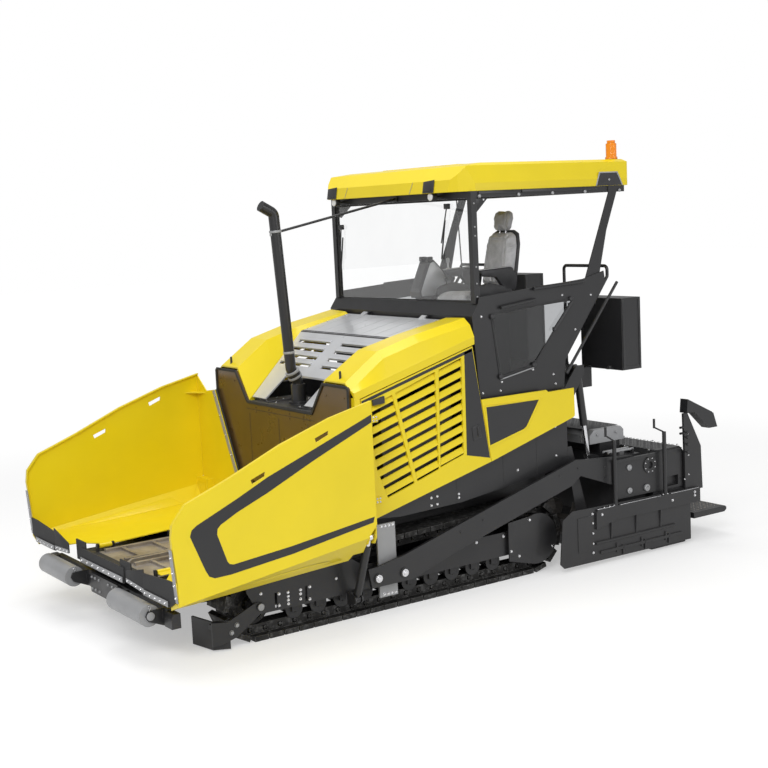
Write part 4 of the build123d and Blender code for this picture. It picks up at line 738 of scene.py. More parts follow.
class Bench:
    """Edit-mode moves that the sub-assemblies share."""

    @staticmethod
    def clear() -> None:
        """Leaves nothing selected and nothing in edit mode."""
        if bpy.context.object is not None and bpy.context.object.mode != "OBJECT":
            bpy.ops.object.mode_set(mode="OBJECT")
        bpy.ops.object.select_all(action="DESELECT")

    @staticmethod
    def only(piece: Piece) -> None:
        """Selects one piece and makes it active.

        Args:
            piece: The piece.
        """
        Bench.clear()
        piece.select_set(True)
        bpy.context.view_layer.objects.active = piece

    @staticmethod
    def pick(piece: Piece, test: Callable[[Vector], bool]) -> None:
        """In edit mode, selects the vertices that pass the test, with the edges and faces between them.

        Args:
            piece: The piece in edit mode.
            test: Takes a vertex's place and says whether it is picked.
        """
        mesh = bmesh.from_edit_mesh(piece.data)
        for part in (mesh.verts, mesh.edges, mesh.faces):
            for item in part:
                item.select = False
        for vertex in mesh.verts:
            vertex.select = test(piece.matrix_world @ vertex.co)
        mesh.select_mode = {"VERT"}
        mesh.select_flush_mode()
        bmesh.update_edit_mesh(piece.data)

    @staticmethod
    def settle(piece: Piece, name: str) -> Piece:
        """Leaves edit mode, names the piece and puts its place into its mesh.

        Args:
            piece: The piece.
            name: Its name from now on.

        Returns:
            The piece.
        """
        if piece.mode != "OBJECT":
            bpy.ops.object.mode_set(mode="OBJECT")
        piece.name = name
        piece.data.name = name
        Bench.only(piece)
        bpy.ops.object.transform_apply(location=True, rotation=True, scale=True)
        return piece

    @staticmethod
    def soften(piece: Piece, width: float) -> None:
        """Rounds the sharp edges by an applied Bevel modifier.

        Args:
            piece: The piece.
            width: The width of the rounding.
        """
        Bench.only(piece)
        bevel = piece.modifiers.new("soft_edges", "BEVEL")
        bevel.width, bevel.segments = width, 2
        bevel.limit_method, bevel.angle_limit = "ANGLE", SHARP_ABOVE
        bevel.harden_normals = False
        bpy.ops.object.modifier_apply(modifier=bevel.name)
        bpy.ops.object.shade_smooth_by_angle(angle=SMOOTH_BELOW)

    @staticmethod
    def box(name: str, low: Point, high: Point, soft: float = 0.004) -> Piece:
        """A block between two corners, with rounded edges.

        Args:
            name: The piece's name.
            low: The lowest corner.
            high: The highest corner.
            soft: The width of the rounding.

        Returns:
            The new piece.
        """
        Bench.clear()
        middle = [(a + b) / 2 for a, b in zip(low, high)]
        bpy.ops.mesh.primitive_cube_add(size=1.0, location=middle, scale=[b - a for a, b in zip(low, high)])
        piece = Bench.settle(bpy.context.object, name)
        if soft:
            Bench.soften(piece, soft)
        return piece

    @staticmethod
    def outward() -> None:
        """In edit mode, turns every face outwards."""
        bpy.ops.mesh.select_all(action="SELECT")
        bpy.ops.mesh.normals_make_consistent(inside=False)

    @staticmethod
    def sheet(name: str, corners: Sequence[Vector], draw: Vector, soft: float) -> Piece:
        """A flat face whose corners are set one by one, drawn out into a plate.

        Args:
            name: The piece's name.
            corners: The corners in order.
            draw: How far and which way the face is drawn out.
            soft: The width of the rounding, or 0.

        Returns:
            The new piece.
        """
        Bench.clear()
        bpy.ops.mesh.primitive_circle_add(vertices=len(corners), radius=1.0, fill_type="NGON")
        piece = bpy.context.object
        bpy.ops.object.mode_set(mode="EDIT")
        mesh = bmesh.from_edit_mesh(piece.data)
        mesh.verts.ensure_lookup_table()
        starts = [v.co.copy() for v in mesh.verts]
        lift = Vector((0, 0, 100))  # clear of the corners that still wait
        for start, corner in zip(starts, corners):
            Bench.pick(piece, lambda p, s=start: (p - s).length < 1e-6)
            bpy.ops.transform.translate(value=corner + lift - start)
        Bench.pick(piece, lambda p: True)
        bpy.ops.transform.translate(value=-lift)
        bpy.ops.mesh.extrude_region_move(TRANSFORM_OT_translate={"value": draw})
        Bench.outward()
        piece = Bench.settle(piece, name)
        if soft:
            Bench.soften(piece, soft)
        return piece

    @staticmethod
    def plate(
        name: str, outline: Sequence[Flat], axis: Axis, low: float, high: float, soft: float = 0.002
    ) -> Piece:
        """A plate of any outline, drawn out along an axis.

        Args:
            name: The piece's name.
            outline: The corners in order, on the axis's two other directions.
            axis: The direction of the thickness.
            low: Where the plate starts along the axis.
            high: Where it ends.
            soft: The width of the rounding, or 0.

        Returns:
            The new piece.
        """
        corners = [axis.place(low, first, second) for first, second in outline]
        return Bench.sheet(name, corners, axis.vector * (high - low), soft)

    @staticmethod
    def skin(
        name: str, outline: Sequence[Flat], face: float, height: float = SKIN, soft: float = 0.0
    ) -> Piece:
        """A thin plate on a face that looks to the machine's left.

        Args:
            name: The piece's name.
            outline: The corners in order, x and z.
            face: The face's distance from the middle plane.
            height: How far the plate stands out.
            soft: The width of the rounding, or 0.

        Returns:
            The new piece.
        """
        return Bench.plate(name, outline, Axis.Y, face, face + height, soft)

    @staticmethod
    def turned(
        name: str, profile: Sequence[Flat], axis: Axis, centre: Point, steps: int = 24, soft: float = 0.0
    ) -> Piece:
        """A round piece built up ring by ring, like one from a lathe.

        Args:
            name: The piece's name.
            profile: Radius and height of each ring in order.
            axis: The piece's own axis.
            centre: The point at height 0.
            steps: Corners of each ring.
            soft: The width of the rounding, or 0.

        Returns:
            The new piece, closed at both ends.
        """
        Bench.clear()
        radius, base = profile[0]
        bpy.ops.mesh.primitive_circle_add(
            vertices=steps, radius=radius, fill_type="NGON", location=(0, 0, base)
        )
        piece = bpy.context.object
        bpy.ops.object.mode_set(mode="EDIT")
        bpy.ops.mesh.select_all(action="SELECT")
        for next_radius, height in profile[1:]:
            bpy.ops.mesh.extrude_region_move(TRANSFORM_OT_translate={"value": (0, 0, height - base)})
            bpy.ops.transform.resize(
                value=(next_radius / radius, next_radius / radius, 1), center_override=(0, 0, height)
            )
            radius, base = next_radius, height
        Bench.outward()
        bpy.ops.object.mode_set(mode="OBJECT")
        turn = Vector((0, 0, 1)).rotation_difference(axis.vector)
        piece.matrix_world = Matrix.Translation(centre) @ turn.to_matrix().to_4x4() @ piece.matrix_world
        piece = Bench.settle(piece, name)
        if soft:
            Bench.soften(piece, soft)
        else:
            bpy.ops.object.shade_smooth_by_angle(angle=SMOOTH_BELOW)
        return piece

    @staticmethod
    def pipe(name: str, points: Sequence[Point], radius: float, smooth: bool = True) -> Piece:
        """A tube or hose along a line.

        Args:
            name: The piece's name.
            points: The line's points in order.
            radius: The tube's radius.
            smooth: True for a curved hose, False for straight runs.

        Returns:
            The tube as a closed mesh.
        """
        Bench.clear()
        bpy.ops.curve.primitive_nurbs_path_add()
        piece = bpy.context.object
        curve = piece.data
        curve.splines.clear()
        spline = curve.splines.new("NURBS" if smooth else "POLY")
        spline.points.add(len(points) - 1)
        for place, point in zip(spline.points, points):
            place.co = (*point, 1.0)
        if smooth:
            spline.order_u = 3
            spline.use_endpoint_u = True
        curve.dimensions = "3D"
        curve.bevel_depth = radius
        curve.bevel_resolution = 3
        curve.use_fill_caps = True
        curve.resolution_u = 6
        bpy.ops.object.convert(target="MESH")
        piece = Bench.settle(bpy.context.object, name)
        bpy.ops.object.mode_set(mode="EDIT")
        bpy.ops.mesh.select_all(action="SELECT")
        bpy.ops.mesh.remove_doubles(threshold=1e-5)
        Bench.outward()
        bpy.ops.object.mode_set(mode="OBJECT")
        bpy.ops.object.shade_smooth_by_angle(angle=PIPE_SMOOTH_BELOW)
        return piece

    @staticmethod
    def copies(piece: Piece, moves: Iterable[Point | Matrix]) -> list[Piece]:
        """Copies of a piece, each with its own mesh.

        Args:
            piece: What is copied.
            moves: For each copy, how far it stands from the first, or its whole matrix.

        Returns:
            The copies, without the first.
        """
        made = []
        for move in moves:
            other = piece.copy()
            other.data = piece.data.copy()
            other.data.transform(move if isinstance(move, Matrix) else Matrix.Translation(move))
            bpy.context.scene.collection.objects.link(other)
            made.append(other)
        return made

    @staticmethod
    def join(name: str, parts: Sequence[Piece]) -> Piece:
        """Several meshes made one piece.

        Args:
            name: The piece's name.
            parts: The meshes.

        Returns:
            The joined piece.
        """
        Bench.clear()
        for part in parts:
            part.select_set(True)
        bpy.context.view_layer.objects.active = parts[0]
        if len(parts) > 1:
            bpy.ops.object.join()
        return Bench.settle(bpy.context.object, name)

    @staticmethod
    def repeated(name: str, first: Piece, moves: Iterable[Point]) -> Piece:
        """A piece joined with its copies.

        Args:
            name: The joined piece's name.
            first: What is repeated.
            moves: How far each copy stands from it.

        Returns:
            The joined piece.
        """
        return Bench.join(name, [first, *Bench.copies(first, moves)])

    @staticmethod
    def mirrored(piece: Piece, name: str) -> Piece:
        """The other side's copy of a piece, over the machine's middle plane.

        Args:
            piece: The piece.
            name: The copy's name.

        Returns:
            The copy.
        """
        other = Bench.copies(piece, [Matrix.Scale(-1, 4, (0, 1, 0))])[0]
        Bench.only(other)
        bpy.ops.object.mode_set(mode="EDIT")
        Bench.outward()
        return Bench.settle(other, name)

    @staticmethod
    def bolt(axis: Axis, centre: Point, radius: float) -> Piece:
        """A hexagon bolt head on its washer, standing out from a face.

        Args:
            axis: The bolt's own axis.
            centre: The middle of its seat on the face.
            radius: Half the head's width over its corners.

        Returns:
            The bolt head.
        """
        start, top, flange = radius * 0.16, radius * 0.85, radius * 1.25
        washer = Bench.turned("washer", [(flange, 0), (flange, start)], axis, centre, 16)
        profile = [(radius, start), (radius, top * 0.85), (radius * 0.86, top), (radius * 0.5, top)]
        head = Bench.turned("head", profile, axis, centre, 6)
        return Bench.join("bolt", [washer, head])

    @staticmethod
    def slab(name: str, corners: Sequence[Point], thickness: float, soft: float = 0.0) -> Piece:
        """A plate whose corners lie anywhere in space, drawn out along its own normal.

        Args:
            name: The piece's name.
            corners: The corners in order.
            thickness: How far it is drawn out, to the side that the right-hand rule gives.
            soft: The width of the rounding, or 0.

        Returns:
            The new piece.
        """
        ring = [Vector(c) for c in corners]
        normal = sum((a.cross(b) for a, b in zip(ring, ring[1:] + ring[:1])), Vector()).normalized()
        return Bench.sheet(name, ring, normal * thickness, soft)

    @staticmethod
    def bolts(name: str, axis: Axis, radius: float, places: Iterable[Point]) -> Piece:
        """A set of equal bolt heads as one piece.

        Args:
            name: The piece's name.
            axis: The bolts' own axis.
            radius: Half a head's width over its corners.
            places: The middle of each seat.

        Returns:
            The joined bolts.
        """
        first_place, *others = [Vector(p) for p in places]
        first = Bench.bolt(axis, tuple(first_place), radius)
        return Bench.repeated(name, first, [tuple(p - first_place) for p in others])

    @staticmethod
    def tread(name: str, x_range: Flat, y_range: Flat, level: float, pitch: float = 0.05) -> Piece:
        """Raised bars in a chequer over a floor plate.

        Args:
            name: The piece's name.
            x_range: Where the field starts and ends along the machine.
            y_range: Where it starts and ends across it.
            level: The plate's height.
            pitch: From one bar to the next.

        Returns:
            The joined bars.
        """
        bars = []
        for side in (1, -1):
            corners = [
                (-0.013, -0.007 * side), (-0.007, -0.013 * side), (0.013, 0.007 * side), (0.007, 0.013 * side)
            ]
            bars.append(Bench.plate("bar", corners, Axis.Z, level, level + 0.0025, 0.0))
        columns = int((x_range[1] - x_range[0]) / pitch)
        rows = int((y_range[1] - y_range[0]) / pitch)
        moves: tuple[list[Point], list[Point]] = ([], [])
        for i in range(columns):
            for j in range(rows):
                moves[(i + j) % 2].append(
                    (x_range[0] + pitch * (i + 0.5), y_range[0] + pitch * (j + 0.5), 0.0)
                )
        made = [other for bar, places in zip(bars, moves) for other in Bench.copies(bar, places)]
        for bar in bars:
            bpy.data.objects.remove(bar)
        return Bench.join(name, made)

    @staticmethod
    def band(outer: Sequence[Flat], inner: Sequence[Flat]) -> list[Flat]:
        """The outline of a band between two lines that run the same way."""
        return [*outer, *reversed(inner)]


def pair(piece: Piece, slot: Slot, left: str = CHASSIS, right: str | None = None) -> None:
    """Dresses a left piece and its mirror image on the right.

    Args:
        piece: The left piece, whose name ends in _left.
        slot: The material slot of both.
        left: The body that it moves with.
        right: The other one's body, or None for the same body.
    """
    other = Bench.mirrored(piece, piece.name.replace("_left", "_right"))
    SHOP.dress(piece, slot, left)
    SHOP.dress(other, slot, right or left)


def between(start: Point, end: Point, share: float) -> Point:
    """The point at a share of the way from one point to another."""
    return tuple(a + (b - a) * share for a, b in zip(start, end))


# ---------------------------------------------------------------- hopper


@dataclass
class HopperWings:
    """Stripe, seal, pressed panel, corner sheets, clamping strips and flaps of the two hopper wings."""

    face: float = 1.6
    rear: float = 1.26
    stripe_outer: tuple[Flat, ...] = (
        (1.256, 1.832), (1.83, 1.617), (2.26, 1.458), (2.54, 1.330), (2.90, 1.178), (2.945, 1.148),
        (2.962, 1.10), (2.85, 0.815), (2.822, 0.763), (2.775, 0.740), (2.63, 0.743), (2.07, 0.803),
        (1.285, 0.925),
    )
    stripe_inner: tuple[Flat, ...] = (
        (1.256, 1.767), (1.838, 1.526), (2.265, 1.335), (2.545, 1.224), (2.695, 1.150), (2.725, 1.122),
        (2.732, 1.078), (2.658, 0.852), (2.640, 0.828), (2.605, 0.818), (2.07, 0.868), (1.27, 0.972),
    )
    seal_edge: tuple[Flat, ...] = ((1.206, 1.806), (0.793, 0.951), (0.662, 0.682))
    seal_width: float = 0.045
    bevel_y: Flat = (1.45, 1.6)
    bevel_belly: Flat = (0.612, 0.511)
    bevel_fold: Flat = (0.811, 0.567)
    bevel_x: Flat = (1.25, 3.12)

    def on_bevel(self, x: float, share: float) -> Point:
        """A point on the lower bevel.

        Args:
            x: Its place along the machine.
            share: Its place on the bevel's width, 0 at the belly and 1 at the fold.

        Returns:
            The point.
        """
        along = (x - self.bevel_x[0]) / (self.bevel_x[1] - self.bevel_x[0])
        belly = self.bevel_belly[0] + (self.bevel_belly[1] - self.bevel_belly[0]) * along
        fold = self.bevel_fold[0] + (self.bevel_fold[1] - self.bevel_fold[0]) * along
        return (
            x, self.bevel_y[0] + (self.bevel_y[1] - self.bevel_y[0]) * share, belly + (fold - belly) * share
        )

    def put(self, piece: Piece, slot: Slot) -> None:
        """Dresses a piece on the left wing and its mirror image on the right one."""
        pair(piece, slot, "wing_left_body", "wing_right_body")

    def stripe(self) -> None:
        """Makes the dark band on the wing's outer face."""
        outline = Bench.band(self.stripe_outer, self.stripe_inner)
        self.put(Bench.skin("wing_stripe_left", outline, self.face), Slot.DARK)

    def seal(self) -> None:
        """Makes the rubber seal on the rear wall's slanted edge, its clamping strip and bolts."""
        (y0, z0), (y1, z1), (y2, z2) = self.seal_edge
        run = Vector((y1 - y0, z1 - z0)).normalized()
        out = Vector((-run.y, run.x)) * self.seal_width
        strip = [(y0, z0), (y1, z1), (y1 + out.x, z1 + out.y), (y0 + out.x, z0 + out.y)]
        plate = Bench.plate("seal_strip_left", strip, Axis.X, self.rear, self.rear + 0.007, 0.0015)
        self.put(plate, Slot.LIGHT)
        lip = out * 0.55
        rubber = [
            (y0 + lip.x, z0 + lip.y), (y1 + lip.x, z1 + lip.y), (y2 + 0.03, z2), (y2 - 0.004, z2),
            (y1 - lip.x, z1 - lip.y), (y0 - lip.x, z0 - lip.y),
        ]
        seal = Bench.plate("seal_left", rubber, Axis.X, self.rear - 0.0105, self.rear - 0.018, 0.001)
        self.put(seal, Slot.RUBBER)
        middle = out * 0.5
        places = []
        for share in (0.06, 0.28, 0.5, 0.72, 0.94):
            y, z = y0 + (y1 - y0) * share + middle.x, z0 + (z1 - z0) * share + middle.y
            places.append((self.rear + 0.007, y, z))
        self.put(Bench.bolts("seal_bolts_left", Axis.X, 0.011, places), Slot.CHROME)

    def bevel(self) -> None:
        """Makes the pressed panel of the lower bevel and the sheets that close its rear corner."""
        corners = [
            self.on_bevel(2.93, 0.14), self.on_bevel(2.90, 0.74), self.on_bevel(1.66, 0.74),
            self.on_bevel(1.52, 0.14),
        ]
        self.put(Bench.slab("bevel_panel_left", corners, 0.010, 0.004), Slot.YELLOW)
        rear, front, drop, steep = 1.3285, 1.445, 0.0035, 0.014
        (y0, y1, y2), (z0, z1, z2) = (1.440, 1.484, 1.591), (0.6595, 0.6595, 0.803)
        low = [(rear, y0, z0), (rear, y1, z1), (front, y1, z1 - drop), (front, y0, z0 - drop)]
        high = [(rear, y1, z1), (rear, y2, z2), (front, y2, z2 - steep), (front, y1, z1 - drop)]
        sheets = [Bench.slab("corner_floor_left", low, 0.005), Bench.slab("corner_bevel_left", high, 0.005)]
        outline = [(1.402, 0.657), (1.486, 0.657), (1.592, 0.800), (1.592, 0.830), (1.402, 0.830)]
        sheets.append(Bench.plate("corner_end_left", outline, Axis.X, 1.3305, 1.3355, 0.0))
        self.put(Bench.join("corner_sheet_left", sheets), Slot.YELLOW)

    def front(self) -> None:
        """Makes the strips along the front edge and the clamped flaps below it."""
        strip = [(3.0935, 1.552, 0.60), (3.0935, 1.598, 0.60), (3.121, 1.598, 1.02), (3.121, 1.552, 1.02)]
        self.put(Bench.slab("edge_strip_left", strip, 0.006, 0.001), Slot.LIGHT)
        places = [(3.0995 + 0.0655 * (z - 0.60), 1.575, z) for z in (0.64, 0.74, 0.84, 0.96)]
        self.put(Bench.bolts("edge_bolts_left", Axis.X, 0.010, places), Slot.CHROME)
        flap = [(0.985, 0.555), (0.635, 0.580), (0.635, 0.672), (0.985, 0.752)]
        self.put(Bench.plate("flap_inner_left", flap, Axis.X, 3.0925, 3.1015, 0.001), Slot.RUBBER)
        clamp = [(0.985, 0.553), (0.640, 0.578), (0.640, 0.612), (0.985, 0.592)]
        self.put(Bench.plate("flap_strip_left", clamp, Axis.X, 3.1015, 3.1065, 0.001), Slot.LIGHT)
        places = [(3.1065, y, 0.573 + (0.985 - y) * 0.062) for y in (0.93, 0.84, 0.75, 0.67)]
        self.put(Bench.bolts("flap_inner_bolts_left", Axis.X, 0.009, places), Slot.CHROME)
        clamp = Bench.box("flap_clamp_left", (3.1105, 0.985, 0.545), (3.1155, 1.445, 0.592), 0.001)
        self.put(clamp, Slot.LIGHT)
        places = [(3.1155, 1.03 + 0.092 * i, 0.568) for i in range(5)]
        self.put(Bench.bolts("flap_bolts_left", Axis.X, 0.009, places), Slot.CHROME)

    def build(self) -> None:
        """Builds everything on the wings."""
        self.stripe()
        self.seal()
        self.bevel()
        self.front()


@dataclass
class Bulkhead:
    """Edging, seams, bolts and pins of the wall behind the hopper."""

    front: float = 1.22
    horn: tuple[Flat, ...] = (
        (0.588, 1.750), (0.799, 2.030), (1.193, 2.030), (1.223, 2.004), (1.223, 1.42),
    )
    horn_inner: tuple[Flat, ...] = (
        (0.604, 1.728), (0.812, 2.004), (1.183, 2.004), (1.197, 1.992), (1.197, 1.42),
    )
    seam_y: tuple[float, ...] = (-0.57, -0.015, 0.51)

    def build(self) -> None:
        """Builds the edging, the panel seams and the fasteners."""
        outline = Bench.band(self.horn, self.horn_inner)
        start, end = self.front + 0.0005, self.front + 0.012
        pair(Bench.plate("horn_edging_left", outline, Axis.X, start, end, 0.003), Slot.RUBBER)
        sill = Bench.box("sill_edging", (self.front - 0.016, -0.59, 1.7425), (end, 0.59, 1.752), 0.003)
        front = Bench.box("sill_front", (start, -0.60, 1.722), (end, 0.60, 1.744), 0.003)
        SHOP.dress(Bench.join("sill_edging", [sill, front]), Slot.RUBBER)
        seams = [
            Bench.box("seam", (self.front, y - 0.003, 1.05), (self.front + 0.0012, y + 0.003, 1.63), 0.0)
            for y in self.seam_y
        ]
        seams.append(Bench.box("seam", (self.front, -0.63, 1.668), (self.front + 0.0012, 0.63, 1.673), 0.0))
        SHOP.dress(Bench.join("bulkhead_seams", seams), Slot.RUBBER)
        places = [(self.front, y, z) for z in (1.692, 1.65) for y in (-0.44, -0.19, 0.19, 0.44)]
        places += [
            (self.front, s * y, z) for s in (-1, 1) for y, z in ((1.14, 1.92), (0.85, 1.92), (1.14, 1.60))
        ]
        # Bolts in the bulkhead's tone, which holds the painted reflection of the hopper.
        SHOP.dress(Bench.bolts("bulkhead_bolts", Axis.X, 0.007, places), Slot.BRONZE)
        profile = [(0.021, 0), (0.021, 0.012), (0.011, 0.014), (0.011, 0.085), (0.006, 0.092)]
        pair(Bench.turned("horn_pin_left", profile, Axis.Z, (1.16, 1.0, 2.048), 16), Slot.LAMP)


@dataclass
class HopperFront:
    """Clamping strips, bolts and clips of the aprons, the push beam and the deflectors."""

    apron: float = 3.062
    beam: float = 3.047

    def build(self) -> None:
        """Builds the strips and fasteners at the machine's front."""
        strip = Bench.box("apron_strip", (self.apron, -0.46, 0.526), (self.apron + 0.004, 0.46, 0.574), 0.001)
        SHOP.dress(strip, Slot.LIGHT)
        places = [(self.apron + 0.004, -0.42 + 0.12 * i, 0.55) for i in range(8)]
        SHOP.dress(Bench.bolts("apron_bolts", Axis.X, 0.010, places), Slot.CHROME)
        places = [(self.beam, s * y, z) for s in (-1, 1) for y in (0.10, 0.19, 0.26) for z in (0.325, 0.43)]
        SHOP.dress(Bench.bolts("beam_bolts", Axis.X, 0.011, places), Slot.LIGHT, "push_beam_body")
        loop = ((3.13, 0.44), (3.13, 0.46), (3.145, 0.475), (3.13, 0.49), (3.115, 0.475), (3.128, 0.462))
        for y in (0.452, 1.131):
            clip = Bench.pipe("roller_clip", [(x, y, z) for x, z in loop], 0.0025)
            clip.name = f"roller_clip_{round(y * 1000)}_left"
            pair(clip, Slot.CHROME, "push_beam_body")
        profile = [(0.034, 0), (0.034, 0.006), (0.026, 0.009), (0.010, 0.009)]
        cap = Bench.turned("roller_cap_left", profile, Axis.Y, (3.13, 1.1405, 0.406), 20)
        pair(cap, Slot.LIGHT, "push_beam_body")
        boss = [(0.03, 0), (0.03, 0.010), (0.022, 0.014), (0.008, 0.014)]
        places = [(2.415, 1.214, 0.197), (2.466, 1.214, 0.143)]
        pair(Bench.bolts("deflector_bolts_left", Axis.Y, 0.017, places), Slot.LIGHT)
        pair(Bench.turned("deflector_boss_left", boss, Axis.Y, (2.19, 1.2245, 0.304), 24, 0.001), Slot.LIGHT)


# ---------------------------------------------------------------- cowling


@dataclass
class Cowling:
    """Dark stripes, latch, seams and fasteners of the side doors, rear panels, hood and shoulders."""

    face: float = 1.27
    seam: tuple[Flat, ...] = ((1.132, 1.897), (-0.080, 2.236))
    dark_door: tuple[Flat, ...] = (
        (0.010, 2.205), (-0.080, 2.231), (-0.152, 1.765), (-0.238, 1.212), (0.026, 1.272)
    )
    dark_panel: tuple[Flat, ...] = (
        (-0.214, 1.680), (-0.842, 1.677), (-0.684, 1.446), (-0.650, 1.425), (-0.242, 1.325)
    )

    def doors(self) -> None:
        """Builds the stripes, the latch and the stop block of the doors."""
        (x0, z0), (x1, z1) = self.seam
        stripe = [(x0, z0), (x1, z1), (x1 + 0.004, z1 - 0.030), (x0 - 0.004, z0 - 0.026)]
        left, right = "door_left_body", "door_right_body"
        pair(Bench.skin("door_stripe_left", stripe, self.face), Slot.DARK, left, right)
        pair(Bench.skin("door_panel_left", self.dark_door, self.face), Slot.DARK, left, right)
        pocket = [(-0.040, 1.517), (-0.132, 1.540), (-0.150, 1.415), (-0.052, 1.390)]
        rim = Bench.plate("latch_rim_left", pocket, Axis.Y, self.face + SKIN, self.face + 0.006, 0.002)
        pair(rim, Slot.DARK, left, right)
        inner = [(-0.048, 1.508), (-0.126, 1.528), (-0.142, 1.424), (-0.060, 1.402)]
        tray = Bench.plate("latch_tray_left", inner, Axis.Y, self.face + 0.006, self.face + 0.0072, 0.0)
        pair(tray, Slot.LAMP, left, right)
        paddle = [(-0.094, 1.515), (-0.120, 1.521), (-0.132, 1.434), (-0.106, 1.428)]
        latch = Bench.plate("latch_left", paddle, Axis.Y, self.face + 0.007, self.face + 0.014, 0.002)
        pair(latch, Slot.DARK, left, right)
        block = [(1.031, 1.895), (0.905, 1.918), (0.905, 1.856), (1.023, 1.846)]
        pair(Bench.skin("door_stop_left", block, self.face, 0.022, 0.003), Slot.LAMP, left, right)
        places = [(x, self.face + 0.013, z) for z in (1.005, 1.035, 1.715, 1.745) for x in (0.995, 1.025)]
        pair(Bench.bolts("hinge_bolts_left", Axis.Y, 0.007, places), Slot.CHROME, left, right)

    def panels(self) -> None:
        """Builds the dark field of the rear side panels, its frame and the bolts beside them."""
        pair(Bench.skin("side_field_left", self.dark_panel, self.face), Slot.DARK)
        grown = [(-0.196, 1.697), (-0.874, 1.694), (-0.700, 1.436), (-0.655, 1.406), (-0.226, 1.303)]
        frame_line = Bench.band([*grown, grown[0]], [*self.dark_panel, self.dark_panel[0]])
        pair(Bench.skin("side_frame_left", frame_line[:-1], self.face, 0.005), Slot.YELLOW)
        places = [
            (x, 1.196, z)
            for x, z in (
                (0.389, 0.927), (0.323, 0.931), (0.391, 0.858), (0.325, 0.860), (0.08, 0.915), (0.08, 0.880)
            )
        ]
        places += [(x, 1.196, z) for x, z in ((-0.62, 1.03), (-1.10, 1.10), (-0.62, 1.30), (-1.10, 1.38))]
        pair(Bench.bolts("skirt_bolts_left", Axis.Y, 0.010, places), Slot.CHROME)
        seams = [
            Bench.plate(
                "seam", [(x, low), (x + 0.004, low), (x + 0.004, high), (x, high)], Axis.Y, 1.195, 1.1962, 0.0
            )
            for x, low, high in ((0.10, 0.84, 1.12), (-0.45, 0.90, 1.22), (-0.86, 0.95, 1.34))
        ]
        pair(Bench.join("skirt_seams_left", seams), Slot.RUBBER)

    def hood_trim(self) -> None:
        """Builds the hood's crease seam, catches, edge seals and bolts."""
        seam = [(0.474, 2.3365), (0.474, 2.3395), (0.446, 2.3535), (0.446, 2.3505)]
        line = Bench.plate("hood_seam", seam, Axis.Y, -0.785, 0.785, 0.0)
        SHOP.dress(line, Slot.RUBBER, "hood_body")
        places = []
        for x in (0.40, 0.16, -0.06):
            places += [(x, s * 0.765, 2.347 + (0.46 - x) * 0.2181) for s in (-1, 1)]
        SHOP.dress(Bench.bolts("hood_bolts", Axis.Z, 0.009, places), Slot.CHROME, "hood_body")
        wedge = [(0.52, 0.0), (0.76, 0.0), (0.72, 0.055), (0.56, 0.062)]
        outline = [(x, 2.195 + rise + (0.64 - x) * 0.42) for x, rise in wedge]
        pair(Bench.plate("shoulder_catch_left", outline, Axis.Y, 0.845, 0.905, 0.006), Slot.YELLOW)
        shelf = [(x, s * y, 1.750) for s in (-1, 1) for x in (0.76, 0.94, 1.12) for y in (0.22, 0.40, 0.52)]
        SHOP.dress(Bench.bolts("shelf_bolts", Axis.Z, 0.008, shelf), Slot.CHROME)
        mats = [
            Bench.box("mat", (0.74, s * 0.30 - 0.02, 1.7495), (1.18, s * 0.30 + 0.02, 1.757), 0.002)
            for s in (-1, 1)
        ]
        SHOP.dress(Bench.join("shelf_strips", mats), Slot.RUBBER)

    def build(self) -> None:
        """Builds everything on the cowling."""
        self.doors()
        self.panels()
        self.hood_trim()


@dataclass
class Exhaust:
    """Clamps and lug of the exhaust pipe."""

    foot: Point = (1.0, 0.0, 1.95)
    bend: Point = (1.068, 0.0, 2.08)
    top: Point = (1.158, 0.0, 3.517)

    def build(self) -> None:
        """Builds the clamps round the pipe and the lug on one of them."""
        rings = []
        for start, end, share, radius in (
            (self.foot, self.bend, 0.34, 0.069), (self.foot, self.bend, 0.70, 0.069),
            (self.bend, self.top, 0.10, 0.055), (self.bend, self.top, 0.878, 0.058),
        ):
            way = (Vector(end) - Vector(start)).normalized()
            ring = Bench.turned("clamp", [(radius, 0), (radius, 0.022)], Axis.Z, (0, 0, 0), 32, 0.002)
            turn = Vector((0, 0, 1)).rotation_difference(way).to_matrix().to_4x4()
            ring.data.transform(Matrix.Translation(between(start, end, share)) @ turn)
            rings.append(ring)
        lug = Bench.box("lug", (1.130, -0.012, 3.312), (1.205, 0.012, 3.336), 0.002)
        SHOP.dress(Bench.join("exhaust_clamps", [*rings, lug]), Slot.LIGHT)


# ---------------------------------------------------------------- tracks and arms


